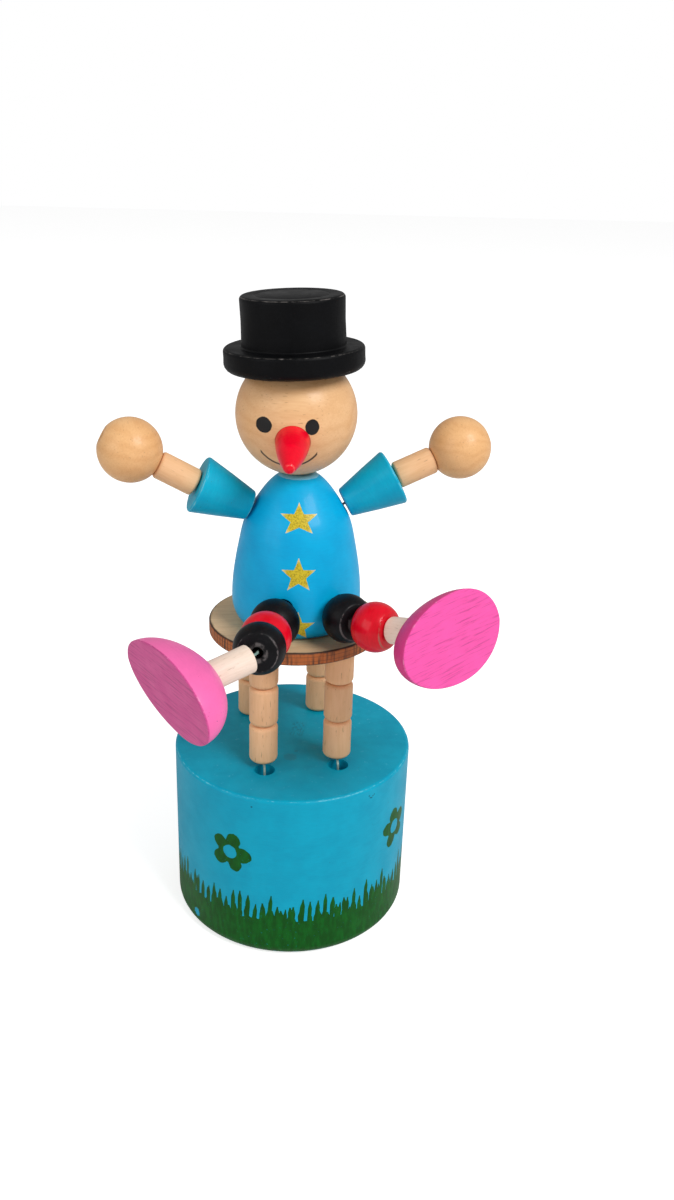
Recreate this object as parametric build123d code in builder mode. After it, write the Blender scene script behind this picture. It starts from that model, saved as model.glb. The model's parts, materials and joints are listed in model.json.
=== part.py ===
"""Press-up toy: a figure in a top hat sits on a four-legged stool on a hollow drum.

Turned wooden pieces are threaded on strings that a sprung button under the drum keeps tight.
Millimetres, +Z up. The origin is the centre of the face the drum stands on, and the figure
looks towards -Y. Left and right are the viewer's.
"""
import math
import os

from build123d import *

os.makedirs("parts", exist_ok=True)

# ---------------------------------------------------------------- drum, button and spring
base_diameter = 50.0
base_height = 38.0
base_top_wall = 6.0
base_bore_diameter = 37.0
base_top_round = 0.8
base_foot_round = 2.6
bore_mouth_chamfer = 0.6
base_hole_diameter = 4.2
base_hole_y = 12.4  # front and rear hole rows lie this far from the middle

button_thickness = 8.0
button_recess = 1.0  # the button stands this far up inside the drum's foot
button_side_gap = 0.4
button_travel = 8.0
button_edge_round = 1.0

spring_wire = 1.2
spring_diameter = 17.0  # to the middle of the wire
spring_turns = 6
spring_end_gap = 0.1
spring_quarters = 4  # biarcs in one turn

# ---------------------------------------------------------------- stool
stool_bead_diameter = 5.8
stool_bead_length = 8.4
front_top_bead_length = 7.2  # shorter, so the front legs hang clear of the drum
stool_bead_round = 1.0
stool_bead_bore = 1.9
leg_x = 7.6  # half the distance between left and right legs, and between the drum's holes
front_leg_y = -10.2
rear_leg_y = 12.4
seat_diameter = 35.0
seat_thickness = 2.7
seat_edge_round = 0.35

# ---------------------------------------------------------------- torso
torso_y = -1.0  # the figure sits this far forward of the drum's middle
torso_height = 30.8
torso_diameter = 25.8
torso_foot_diameter = 18.8
torso_belly_height = 5.5
torso_chest_diameter = 22.1
torso_chest_height = 19.0
torso_shoulder_diameter = 18.0
torso_neck_flat = 6.4
torso_neck_slope = 27.0  # degrees above level, where the outline meets the neck flat
torso_bore_diameter = 12.8
torso_bore_depth = 24.0
drilling_diameter = 2.6
neck_hole_diameter = 3.0
hip_hole_diameter = 4.2
hip_hole_height = 7.4
hip_string_drop = 0.8  # a leg string enters its hip hole this far above the hole's middle
shoulder_hole_diameter = 2.6
shoulder_height = 24.2
string_gather_height = 18.3  # where the arm strings meet the head string's knot

# ---------------------------------------------------------------- head, nose and hat
head_diameter = 23.0
head_neck_flat = 4.8
head_crown_height = 8.4  # height above the ball's middle at which the ball is cut for the hat
head_tilt = 3.0  # towards the viewer's left
face_azimuth = -12.5  # the face looks a little to the viewer's left
nose_droop = 14.0  # the nose points this far below where the face looks
nose_diameter = 6.4
nose_length = 10.6
nose_middle_diameter = 5.0
nose_tip_diameter = 2.4
nose_seat_depth = 0.5
nose_peg_diameter = 2.6
nose_peg_length = 3.0
brim_diameter = 26.4
brim_thickness = 4.3
brim_top_round = 0.7
brim_bottom_round = 1.5
crown_diameter = 19.3
crown_height = 9.1
crown_round = 0.7
hat_recess_diameter = 6.0
hat_recess_depth = 3.0

# ---------------------------------------------------------------- arms
sleeve_narrow_diameter = 5.8
sleeve_wide_diameter = 11.4
sleeve_length = 11.0
sleeve_round = 0.5
forearm_diameter = 5.35
forearm_length = 8.0
forearm_round = 0.6
hand_diameter = 12.2
hand_wrist_flat = 4.6
hand_knot_flat = 4.0
hand_recess_depth = 2.6
arm_bore = 1.8
left_arm_directions = ((-90.0, 24.5), (-90.0, 29.0), (-90.0, 29.0))  # azimuth, elevation
right_arm_directions = ((90.0, 28.0), (90.0, 23.5), (90.0, 23.5))

# ---------------------------------------------------------------- legs and feet
leg_bead_diameter = 9.5
leg_bead_length = 6.3
leg_bead_bore = 2.0
hip_bead_height = 5.8
left_hip_azimuth = -23.0
right_hip_azimuth = 28.0
hip_hole_turn = 3.0  # the hip holes lie this much further to the viewer's right
left_leg_directions = ((-23.0, 0.0), (-19.0, 5.0), (-14.0, 10.0), (-64.0, -10.0))
right_leg_directions = ((23.0, 6.0), (44.0, 6.0), (37.0, 14.0))
shin_diameter = 5.1
shin_length = 10.1
shin_bore = 1.4
shin_bore_depth = 6.5
shin_end_round = 0.3
foot_length = 27.2
foot_width = 16.2
foot_rise = 8.0
foot_blunt_share = 0.44  # share of the foot's length that is the blunt end's half
foot_socket_depth = 2.6
left_foot_turn = 178.0
right_foot_turn = 180.0

# ---------------------------------------------------------------- strings and clearances
string_diameter = 0.5
string_gap = 0.1  # between neighbours on one string
fit_gap = 0.05  # glued pegs and sockets, each side
string_bend = 2.5  # largest radius where a string turns inside the wood
knot_diameter = 2.2
knot_recess_diameter = 3.4
straight_limit = 1.0  # degrees, below which a string point is left out

# ---------------------------------------------------------------- levels worked out from these
bead_step = stool_bead_length + string_gap
seat_bottom = base_height + string_gap + 3 * bead_step
seat_top = seat_bottom + seat_thickness
torso_top = seat_top + torso_height
chamber_top = base_height - base_top_wall
button_bottom = button_recess
button_top = button_bottom + button_thickness
torso_axis = Vector(0, torso_y, 0)
SIDES = {"left": -1, "right": 1}


def save(piece, name):
    """Label a finished piece and write it to its own file."""
    piece.part.label = name
    export_step(piece.part, f"parts/{name}.step")


def heading(azimuth, elevation):
    """Unit vector; azimuth runs from straight ahead (-Y) towards +X."""
    a, e = math.radians(azimuth), math.radians(elevation)
    return Vector(math.sin(a) * math.cos(e), -math.cos(a) * math.cos(e), math.sin(e))


def along(point, direction):
    """Plane at a point, with its normal along a piece's own axis and its X level."""
    level = Vector(0, 0, 1).cross(direction)
    return Plane(origin=point, x_dir=level, z_dir=direction)


def half_profile(place):
    """Plane to draw a turned piece's half outline in: X is the radius, Y runs along the axis."""
    return Plane(origin=place.origin, x_dir=place.x_dir, z_dir=place.x_dir.cross(place.z_dir))


def turning_axis(place):
    return Axis(place.origin, place.z_dir)


def threaded_on(end, before, after, rim_diameter):
    """Place of the next piece on a string, leaning on the last one's rim where the string bends."""
    opening = rim_diameter / 2 * math.tan(math.radians(before.get_angle(after)) / 2)
    spacing = opening + string_gap / 2
    return along(end + before * spacing + after * spacing, after)


def rounded_rod(place, diameter, length, rounding, bore):
    """Dowel with rounded ends and a string hole."""
    with BuildPart() as rod:
        with BuildSketch(place):
            Circle(diameter / 2)
        extrude(amount=length)
        fillet(rod.edges(), rounding)
        with BuildSketch(place):
            Circle(bore / 2)
        extrude(amount=length, mode=Mode.SUBTRACT)
    return rod


def bored_ball(place, diameter, length, bore):
    """Ball bead cut flat at both ends, with a string hole."""
    radius, half = diameter / 2, length / 2
    flat = math.sqrt(radius**2 - half**2)
    with BuildPart() as ball:
        with BuildSketch(half_profile(place)):
            with BuildLine():
                Line((bore / 2, 0), (flat, 0))
                ThreePointArc((flat, 0), (radius, half), (flat, length))
                Line((flat, length), (bore / 2, length))
                Line((bore / 2, length), (bore / 2, 0))
            make_face()
        revolve(axis=turning_axis(place))
    return ball


def drill(start, end, diameter):
    """Round hole from one point to another, in the piece being built."""
    with BuildSketch(Plane(origin=start, z_dir=end - start)) as mouth:
        Circle(diameter / 2)
    extrude(mouth.sketch, amount=(end - start).length, mode=Mode.SUBTRACT)


# ---------------------------------------------------------------- drum, button and spring
def drum_base():
    with BuildPart() as drum:
        with BuildSketch():
            Circle(base_diameter / 2)
        extrude(amount=base_height)
        fillet(drum.edges().sort_by(Axis.Z)[-1], base_top_round)
        fillet(drum.edges().sort_by(Axis.Z)[0], base_foot_round)
        with BuildSketch():
            Circle(base_bore_diameter / 2)
        extrude(amount=chamber_top, mode=Mode.SUBTRACT)
        mouth = drum.edges().filter_by(GeomType.CIRCLE).group_by(Axis.Z)[0].sort_by(SortBy.RADIUS)
        chamfer(mouth[0], bore_mouth_chamfer)
        with BuildSketch(Plane.XY.offset(chamber_top)):
            with GridLocations(2 * leg_x, 2 * base_hole_y, 2, 2):
                Circle(base_hole_diameter / 2)
        extrude(amount=base_top_wall, mode=Mode.SUBTRACT)
    save(drum, "drum_base")


def push_button():
    """Disc that slides in the drum, with a knot recess under each string hole."""
    with BuildPart() as button:
        with BuildSketch(Plane.XY.offset(button_bottom)):
            Circle(base_bore_diameter / 2 - button_side_gap)
        extrude(amount=button_thickness)
        fillet(button.edges(), button_edge_round)
        with Locations(Plane.XY.offset(button_bottom).rotated((180, 0, 0))):
            with GridLocations(2 * leg_x, 2 * base_hole_y, 2, 2):
                CounterBoreHole(arm_bore / 2, knot_recess_diameter / 2, knot_diameter)
    save(button, "push_button")


def biarc(start, start_heading, end, end_heading):
    """Two tangent arcs that join two points with the given headings at both ends."""
    chord = end - start
    total = start_heading + end_heading
    spread = 2 * (1 - start_heading.dot(end_heading))
    reach = chord.dot(total)
    arm = (math.sqrt(reach**2 + spread * chord.dot(chord)) - reach) / spread
    first, last = start + start_heading * arm, end - end_heading * arm
    middle = (first + last) * 0.5
    TangentArc(start, middle, tangent=start_heading)
    TangentArc(middle, end, tangent=last - first)


def return_spring():
    """Compression spring between the button and the chamber's ceiling, as one unbroken wire."""
    low = button_top + spring_end_gap + spring_wire / 2
    high = chamber_top - spring_end_gap - spring_wire / 2
    radius = spring_diameter / 2
    steps = spring_turns * spring_quarters
    pitch = (high - low) / spring_turns
    slope = pitch / (2 * math.pi)

    def point(step):
        angle = 2 * math.pi * step / spring_quarters
        return Vector(radius * math.cos(angle), radius * math.sin(angle), low + slope * angle)

    def wire_heading(step):
        angle = 2 * math.pi * step / spring_quarters
        return Vector(-radius * math.sin(angle), radius * math.cos(angle), slope).normalized()

    with BuildPart() as spring:
        with BuildLine() as coil:
            for step in range(steps):
                biarc(point(step), wire_heading(step), point(step + 1), wire_heading(step + 1))
        with BuildSketch(Plane(origin=coil.line @ 0, z_dir=coil.line % 0)):
            Circle(spring_wire / 2)
        sweep(path=coil.line)
    print(f"spring: least gap between turns {pitch * math.cos(math.atan(slope / radius)) - spring_wire:.2f}")
    save(spring, "return_spring")


# ---------------------------------------------------------------- stool
def stool_leg(name, x, y, top_length):
    """Three dowels under the seat, threaded one above the other."""
    top = seat_bottom
    for level, length in (("top", top_length), ("mid", stool_bead_length), ("low", stool_bead_length)):
        top -= string_gap + length
        bead = rounded_rod(
            Plane(origin=(x, y, top)), stool_bead_diameter, length, stool_bead_round, stool_bead_bore
        )
        save(bead, f"stool_{name}_{level}")


def stool_legs():
    for side, sign in SIDES.items():
        stool_leg(f"front_{side}", sign * leg_x, front_leg_y, front_top_bead_length)
        stool_leg(f"rear_{side}", sign * leg_x, rear_leg_y, stool_bead_length)


def stool_seat():
    with BuildPart() as seat:
        with BuildSketch(Plane.XY.offset(seat_bottom)):
            Circle(seat_diameter / 2)
            with Locations(*[(sign * leg_x, y) for sign in SIDES.values() for y in (front_leg_y, rear_leg_y)]):
                Circle(stool_bead_bore / 2, mode=Mode.SUBTRACT)
        extrude(amount=seat_thickness)
        rims = seat.edges().filter_by(GeomType.CIRCLE).sort_by(SortBy.RADIUS)[-2:]
        fillet(rims, seat_edge_round)
    save(seat, "stool_seat")


# ---------------------------------------------------------------- string routes inside the torso
def torso_point(x, y, height):
    """Point by its place from the torso's axis and its height above the seat."""
    return Vector(x, torso_y + y, seat_top + height)


def seat_hole(side, row):
    return Vector(SIDES[side] * leg_x, row, seat_top)


def hip_azimuth(side):
    return {"left": left_hip_azimuth, "right": right_hip_azimuth}[side]


def hip_inner(side):
    """Where a leg string turns forward inside the torso."""
    outward = heading(hip_azimuth(side), 0)
    return torso_point(0, 0, hip_hole_height + hip_string_drop) + outward * (torso_bore_diameter / 3)


def hip_mouth(side):
    """Middle of a hip hole on the torso's skin."""
    outward = heading(hip_azimuth(side) + hip_hole_turn, 0)
    return torso_point(0, 0, hip_hole_height) + outward * (torso_diameter / 2)


def hip_exit(side):
    """Where a leg string comes in line with the hip bead, low in the hip hole."""
    outward = heading(hip_azimuth(side), 0)
    return Plane(torso_point(0, 0, hip_bead_height) + outward * (torso_diameter / 2 - string_gap), z_dir=outward)


def shoulder_mouth(side):
    return torso_point(SIDES[side] * torso_shoulder_diameter / 2, 0, shoulder_height)


def shoulder_inner(side):
    """Where an arm string turns into the shoulder hole inside the torso."""
    directions = {"left": left_arm_directions, "right": right_arm_directions}[side]
    depth = torso_shoulder_diameter / 2 - torso_bore_diameter / 3
    return shoulder_mouth(side) - heading(*directions[0]) * depth


def back_inner(side):
    """Where an arm string enters the torso's bore from the slanted drilling in its back."""
    return torso_point(SIDES[side] * 3.0, torso_bore_diameter / 3, string_gather_height / 1.4)


def gather(side):
    """Where an arm string passes the knot of the head string."""
    clear = knot_diameter / 2 + string_diameter
    return torso_point(SIDES[side] * clear, 0, string_gather_height)


# ---------------------------------------------------------------- torso
def torso():
    """Bullet-shaped body with its bore, neck, shoulder and hip holes and slanted drillings."""
    radius, foot = torso_diameter / 2, torso_foot_diameter / 2
    outline = [
        (radius, torso_belly_height),
        (torso_chest_diameter / 2, torso_chest_height),
        (torso_shoulder_diameter / 2, shoulder_height),
        (torso_neck_flat / 2, torso_height),
    ]
    slope = math.radians(torso_neck_slope)
    place = Plane(origin=(0, torso_y, seat_top), x_dir=(0, 1, 0))  # its seam clears the holes
    with BuildPart() as body:
        with BuildSketch(half_profile(place)):
            with BuildLine():
                Line((0, 0), (foot, 0))
                EllipticalCenterArc(
                    (foot, torso_belly_height), radius - foot, torso_belly_height, start_angle=-90, arc_size=90
                )
                Spline(*outline, tangents=((0, 1), (-math.cos(slope), math.sin(slope))))
                Line(outline[-1], (0, torso_height))
                Line((0, torso_height), (0, 0))
            make_face()
        revolve(axis=turning_axis(place))
        drill(place.origin, place.origin + Vector(0, 0, torso_bore_depth), torso_bore_diameter)
        drill(place.origin, place.origin + Vector(0, 0, torso_height), neck_hole_diameter)
        for side in SIDES:
            drill(shoulder_inner(side), shoulder_mouth(side) * 2 - shoulder_inner(side), shoulder_hole_diameter)
            hip_middle = torso_point(0, 0, hip_hole_height)
            drill(hip_middle, hip_mouth(side) * 2 - hip_middle, hip_hole_diameter)
            drill(seat_hole(side, front_leg_y), hip_inner(side), drilling_diameter)
            drill(seat_hole(side, rear_leg_y), back_inner(side), drilling_diameter)
    save(body, "torso")


# ---------------------------------------------------------------- head, nose and hat
neck_height = math.sqrt((head_diameter / 2) ** 2 - (head_neck_flat / 2) ** 2)
head_up = Vector(-math.sin(math.radians(head_tilt)), 0, math.cos(math.radians(head_tilt)))
head_place = threaded_on(torso_axis + Vector(0, 0, torso_top), Vector(0, 0, 1), head_up, head_neck_flat)
head_middle = head_place.origin + head_up * neck_height
hat_origin = head_middle + head_up * head_crown_height
face_level = heading(face_azimuth, 0)
face_forward = (face_level - head_up * face_level.dot(head_up)).normalized()
nose_depth = math.sqrt((head_diameter / 2) ** 2 - (nose_diameter / 2) ** 2) - nose_seat_depth
nose_forward = face_forward.rotate(Axis((0, 0, 0), head_up.cross(face_forward)), nose_droop)
nose_place = along(head_middle + nose_forward * nose_depth, nose_forward)


def head():
    """Ball with a neck flat, a crown flat for the hat, a string hole and a seat for the nose."""
    radius = head_diameter / 2
    crown_flat = math.sqrt(radius**2 - head_crown_height**2)
    with BuildPart() as ball:
        with BuildSketch(half_profile(Plane(origin=head_middle, z_dir=head_up))):
            with BuildLine():
                Line((0, -neck_height), (head_neck_flat / 2, -neck_height))
                ThreePointArc((head_neck_flat / 2, -neck_height), (radius, 0), (crown_flat, head_crown_height))
                Line((crown_flat, head_crown_height), (0, head_crown_height))
                Line((0, head_crown_height), (0, -neck_height))
            make_face()
        revolve(axis=Axis(head_middle, head_up))
        drill(head_place.origin, hat_origin, stool_bead_bore)
        drill(nose_place.origin, nose_place.origin + nose_forward * head_diameter, nose_diameter + 2 * fit_gap)
        peg_end = nose_place.origin - nose_forward * (nose_peg_length + fit_gap)
        drill(nose_place.origin, peg_end, nose_peg_diameter + 2 * fit_gap)
    save(ball, "head")


def nose():
    """Carrot-shaped nose with a peg that is glued into the head."""
    tip = nose_tip_diameter / 2
    with BuildPart() as carrot:
        with BuildSketch(half_profile(nose_place)):
            with BuildLine():
                Line((0, -nose_peg_length), (nose_peg_diameter / 2, -nose_peg_length))
                Line((nose_peg_diameter / 2, -nose_peg_length), (nose_peg_diameter / 2, 0))
                Line((nose_peg_diameter / 2, 0), (nose_diameter / 2, 0))
                ThreePointArc(
                    (nose_diameter / 2, 0), (nose_middle_diameter / 2, nose_length / 2), (tip, nose_length - tip)
                )
                ThreePointArc(
                    (tip, nose_length - tip),
                    (tip * math.sin(math.radians(45)), nose_length - tip + tip * math.cos(math.radians(45))),
                    (0, nose_length),
                )
                Line((0, nose_length), (0, -nose_peg_length))
            make_face()
        revolve(axis=turning_axis(nose_place))
    save(carrot, "nose")


def top_hat():
    """Brim and crown turned in one piece, with a recess under it for the head string's knot."""
    place = Plane(origin=hat_origin, z_dir=head_up)
    brim, crown = brim_diameter / 2, crown_diameter / 2
    with BuildPart() as hat:
        with BuildSketch(place):
            Circle(brim)
        extrude(amount=brim_thickness)
        lower, upper = hat.edges().sort_by(turning_axis(place))[0], hat.edges().sort_by(turning_axis(place))[-1]
        fillet(lower, brim_bottom_round)
        fillet(upper, brim_top_round)
        with BuildSketch(place.offset(brim_thickness)):
            Circle(crown)
        extrude(amount=crown_height)
        fillet(hat.edges().sort_by(turning_axis(place))[-1], crown_round)
        with BuildSketch(place):
            Circle(hat_recess_diameter / 2)
        extrude(amount=hat_recess_depth, mode=Mode.SUBTRACT)
    save(hat, "top_hat")


# ---------------------------------------------------------------- arms
def arm_places(side):
    """Places of a sleeve, a forearm and a hand, from the shoulder outwards."""
    directions = {"left": left_arm_directions, "right": right_arm_directions}[side]
    sleeve_way, forearm_way, hand_way = (heading(*pair) for pair in directions)
    lift = sleeve_narrow_diameter / 2 * math.tan(math.radians(2 * head_tilt))
    sleeve_at = along(shoulder_mouth(side) + sleeve_way * (lift + string_gap), sleeve_way)
    sleeve_end = sleeve_at.origin + sleeve_way * sleeve_length
    forearm_at = threaded_on(sleeve_end, sleeve_way, forearm_way, forearm_diameter)
    forearm_end = forearm_at.origin + forearm_way * forearm_length
    hand_at = threaded_on(forearm_end, forearm_way, hand_way, hand_wrist_flat)
    return sleeve_at, forearm_at, hand_at


def hand_length():
    """Length of a hand's ball between its wrist flat and its knot flat."""
    radius = hand_diameter / 2
    wrist = math.sqrt(radius**2 - (hand_wrist_flat / 2) ** 2)
    knot = math.sqrt(radius**2 - (hand_knot_flat / 2) ** 2)
    return wrist, knot


def sleeve(place, name):
    """Cone that widens towards the wrist."""
    with BuildPart() as cone:
        with BuildSketch(place):
            Circle(sleeve_narrow_diameter / 2)
        with BuildSketch(place.offset(sleeve_length)):
            Circle(sleeve_wide_diameter / 2)
        loft()
        fillet(cone.edges().filter_by(GeomType.CIRCLE), sleeve_round)
        drill(place.origin, place.origin + place.z_dir * sleeve_length, arm_bore)
    save(cone, name)


def hand(place, name):
    """Ball with a flat at the wrist and a flat with a knot recess at the outer end."""
    radius = hand_diameter / 2
    wrist, knot = hand_length()
    with BuildPart() as ball:
        with BuildSketch(half_profile(place)):
            with BuildLine():
                Line((0, 0), (hand_wrist_flat / 2, 0))
                ThreePointArc((hand_wrist_flat / 2, 0), (radius, wrist), (hand_knot_flat / 2, wrist + knot))
                Line((hand_knot_flat / 2, wrist + knot), (0, wrist + knot))
                Line((0, wrist + knot), (0, 0))
            make_face()
        revolve(axis=turning_axis(place))
        outer = place.origin + place.z_dir * (wrist + knot)
        drill(place.origin, outer, arm_bore)
        drill(outer, outer - place.z_dir * hand_recess_depth, knot_diameter + 2 * string_gap)
    save(ball, name)


def arms():
    for side in SIDES:
        sleeve_at, forearm_at, hand_at = arm_places(side)
        sleeve(sleeve_at, f"{side}_sleeve")
        save(rounded_rod(forearm_at, forearm_diameter, forearm_length, forearm_round, arm_bore), f"{side}_forearm")
        hand(hand_at, f"{side}_hand")


# ---------------------------------------------------------------- legs and feet
leg_bead_flat = 2 * math.sqrt((leg_bead_diameter / 2) ** 2 - (leg_bead_length / 2) ** 2)


def leg_places(side):
    """Places of a leg's beads and, last, of its shin, from the hip outwards."""
    directions = {"left": left_leg_directions, "right": right_leg_directions}[side]
    ways = [heading(*pair) for pair in directions]
    outward = heading(hip_azimuth(side), 0)
    skin = torso_point(0, 0, hip_bead_height) + outward * (torso_diameter / 2)
    places = [threaded_on(skin, outward, ways[0], leg_bead_flat)]
    for before, after in zip(ways, ways[1:]):
        end = places[-1].origin + before * leg_bead_length
        rim = shin_diameter if after is ways[-1] else leg_bead_flat
        places.append(threaded_on(end, before, after, rim))
    return places


def shin(place, name):
    """Dowel with a blind string hole, glued into the foot."""
    with BuildPart() as dowel:
        with BuildSketch(place):
            Circle(shin_diameter / 2)
        extrude(amount=shin_length)
        fillet(dowel.edges().sort_by(turning_axis(place))[0], shin_end_round)
        drill(place.origin, place.origin + place.z_dir * shin_bore_depth, shin_bore)
    save(dowel, name)


def foot_sole(place):
    """Middle of the sole, straight below the shin."""
    return place.origin + place.z_dir * (shin_length - foot_socket_depth + foot_rise)


def foot(place, turn, name):
    """Half an egg, cut along its length, with the flat sole away from the shin."""
    blunt, sharp = foot_length * foot_blunt_share, foot_length * (1 - foot_blunt_share)
    along_foot = place.x_dir.rotate(Axis((0, 0, 0), place.z_dir), turn)
    sole = Plane(origin=foot_sole(place), x_dir=along_foot, z_dir=-place.z_dir)
    with BuildPart() as egg:
        with BuildSketch(sole):
            with BuildLine():
                Line((-blunt, 0), (sharp, 0))
                EllipticalCenterArc((0, 0), sharp, foot_width / 2, start_angle=0, arc_size=90)
                EllipticalCenterArc((0, 0), blunt, foot_width / 2, start_angle=90, arc_size=90)
            make_face()
        revolve(axis=Axis(sole.origin, sole.x_dir), revolution_arc=180)
        socket = place.origin + place.z_dir * (shin_length + fit_gap)
        drill(socket, place.origin, shin_diameter + 2 * fit_gap)
    save(egg, name)


def legs():
    bead_names = {"left": ("hip_bead", "knee_bead", "calf_bead"), "right": ("hip_bead", "knee_bead")}
    turns = {"left": left_foot_turn, "right": right_foot_turn}
    for side in SIDES:
        *bead_places, shin_at = leg_places(side)
        for place, name in zip(bead_places, bead_names[side]):
            save(bored_ball(place, leg_bead_diameter, leg_bead_length, leg_bead_bore), f"{side}_{name}")
        shin(shin_at, f"{side}_shin")
        foot(shin_at, turns[side], f"{side}_foot")


# ---------------------------------------------------------------- strings
def bend_radii(points):
    """One radius for each corner, as large as its runs and the wood round it allow."""
    radii = []
    for a, b, c in zip(points, points[1:], points[2:]):
        turn = math.radians((b - a).get_angle(c - b))
        room = 0.45 * min((b - a).length, (c - b).length) / math.tan(turn / 2)
        radii.append(min(string_bend, room))
    return radii


def crossing(first, second):
    """Point where the axes of two neighbours on a string meet."""
    normal = second.z_dir.cross(first.z_dir)
    if normal.length < math.sin(math.radians(straight_limit)):
        return second.origin
    setback = (second.origin - first.origin).cross(first.z_dir).dot(normal) / normal.dot(normal)
    return second.origin - second.z_dir * setback


def crossings(places):
    return [crossing(first, second) for first, second in zip(places, places[1:])]


def without_straight_points(points):
    """The same route without the points that turn it by next to nothing."""
    kept = [points[0]]
    for here, after in zip(points[1:], points[2:]):
        if (here - kept[-1]).get_angle(after - here) > straight_limit:
            kept.append(here)
    return kept + [points[-1]]


def string(points, name, knots):
    """One string along its route, with a ball for each knot."""
    route = without_straight_points(points)
    radii = bend_radii(route)
    print(f"{name}: bend radii {[round(radius, 2) for radius in radii]}")
    with BuildPart() as line:
        with BuildLine() as path:
            if radii:
                FilletPolyline(*route, radius=radii)
            else:
                Line(*route)
        with BuildSketch(Plane(origin=path.line @ 0, z_dir=path.line % 0)):
            Circle(string_diameter / 2)
        sweep(path=path.line)
        with Locations(*knots):
            Sphere(knot_diameter / 2)
    print(f"{name}: length {path.wires()[0].length:.1f}, volume {line.part.volume:.2f}")
    save(line, name)


def from_button(side, hole_y, leg_y, top_length):
    """Route from the knot under the button up through the drum, one stool leg and the seat."""
    x = SIDES[side] * leg_x
    knot = Vector(x, hole_y, button_bottom + knot_diameter / 2 - string_gap)
    foot_of_leg = seat_bottom - top_length - 2 * stool_bead_length - 3 * string_gap
    return [
        knot,
        Vector(x, hole_y, base_height - base_top_wall / 2),
        Vector(x, leg_y, foot_of_leg + stool_bead_round + string_gap),
        Vector(x, leg_y, seat_bottom + seat_thickness / 2),
    ]


def leg_strings():
    for side in SIDES:
        *bead_places, shin_at = leg_places(side)
        start = from_button(side, -base_hole_y, front_leg_y, front_top_bead_length)
        inside = [seat_hole(side, front_leg_y), hip_inner(side), hip_exit(side).origin]
        joints = crossings([hip_exit(side)] + bead_places + [shin_at])
        end = shin_at.origin + shin_at.z_dir * (shin_bore_depth - string_gap)
        points = start + inside + joints + [end]
        string(points, f"{side}_leg_string", [start[0]])


def arm_strings():
    for side in SIDES:
        sleeve_at, forearm_at, hand_at = arm_places(side)
        start = from_button(side, base_hole_y, rear_leg_y, stool_bead_length)
        inside = [seat_hole(side, rear_leg_y), back_inner(side), gather(side), shoulder_inner(side)]
        wrist, knot = hand_length()
        end = hand_at.origin + hand_at.z_dir * (wrist + knot - hand_recess_depth + knot_diameter / 2 + string_gap)
        points = start + inside + [sleeve_at.origin] + crossings([sleeve_at, forearm_at, hand_at]) + [end]
        string(points, f"{side}_arm_string", [start[0], end])


def head_string():
    top = hat_origin + head_up * (knot_diameter / 2 + string_gap)
    neck = torso_axis + Vector(0, 0, torso_top)
    tie = torso_point(0, 0, string_gather_height)
    string([top, neck, tie], "head_string", [top, tie])


drum_base()
push_button()
return_spring()
stool_legs()
stool_seat()
torso()
head()
nose()
top_hat()
arms()
legs()
leg_strings()
arm_strings()
head_string()
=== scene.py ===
"""Looks for a press-up toy: a strung wooden figure in a top hat, on a stool, on a drum.

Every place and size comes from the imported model.  Turned pieces are drawn as outlines that a
Geometry Nodes tree spins round, strings and the spring are swept by two more trees, and each
piece has a finish of its own.  Metres; the figure looks towards -Y; left and right are the
viewer's.
"""
import json
import logging
import math
from dataclasses import dataclass
from enum import Enum
from functools import reduce
from operator import or_
from typing import Any, Callable, Optional, Sequence, Union

import bmesh
import bpy
from mathutils import Matrix, Vector

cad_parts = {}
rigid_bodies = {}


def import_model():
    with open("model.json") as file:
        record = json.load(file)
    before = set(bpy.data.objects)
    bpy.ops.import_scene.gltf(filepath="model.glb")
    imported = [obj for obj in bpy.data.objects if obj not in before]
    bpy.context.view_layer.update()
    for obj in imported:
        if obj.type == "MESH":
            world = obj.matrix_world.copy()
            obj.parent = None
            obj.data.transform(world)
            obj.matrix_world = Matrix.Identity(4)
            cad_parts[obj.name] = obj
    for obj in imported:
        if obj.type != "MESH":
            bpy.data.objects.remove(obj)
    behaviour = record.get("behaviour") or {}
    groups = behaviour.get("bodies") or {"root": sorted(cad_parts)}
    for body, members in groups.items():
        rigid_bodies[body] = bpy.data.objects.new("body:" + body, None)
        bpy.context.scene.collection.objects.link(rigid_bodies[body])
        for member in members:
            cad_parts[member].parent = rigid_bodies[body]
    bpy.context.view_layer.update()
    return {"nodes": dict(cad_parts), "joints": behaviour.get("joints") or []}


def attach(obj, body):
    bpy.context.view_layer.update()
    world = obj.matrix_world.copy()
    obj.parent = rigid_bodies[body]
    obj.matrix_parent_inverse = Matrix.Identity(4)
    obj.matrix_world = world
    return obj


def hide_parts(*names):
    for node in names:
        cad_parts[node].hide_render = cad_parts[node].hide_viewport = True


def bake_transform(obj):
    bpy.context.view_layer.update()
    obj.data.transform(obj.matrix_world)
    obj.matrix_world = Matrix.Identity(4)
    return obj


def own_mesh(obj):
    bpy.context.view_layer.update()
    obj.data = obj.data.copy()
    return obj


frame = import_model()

LOG = logging.getLogger("press_up_toy")
MM = 0.001
UP = Vector((0, 0, 1))
SIDES = {"left": -1, "right": 1}
PHOTO_HEIGHT = 1200  # pixels along the photograph's longer side
SENSOR = 36.0
HOLE_X, HOLE_Y = 7.6, 12.4  # string holes from the drum's middle, in millimetres
FRONT_LEG_Y = -10.2  # where the front stool legs' strings reach the seat

Pair = tuple[float, float]
Triple = tuple[float, float, float]
Outline = list[Pair]
Number = Union[float, "Value"]
Thing, Finish, Socket = bpy.types.Object, bpy.types.Material, bpy.types.NodeSocket


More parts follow.
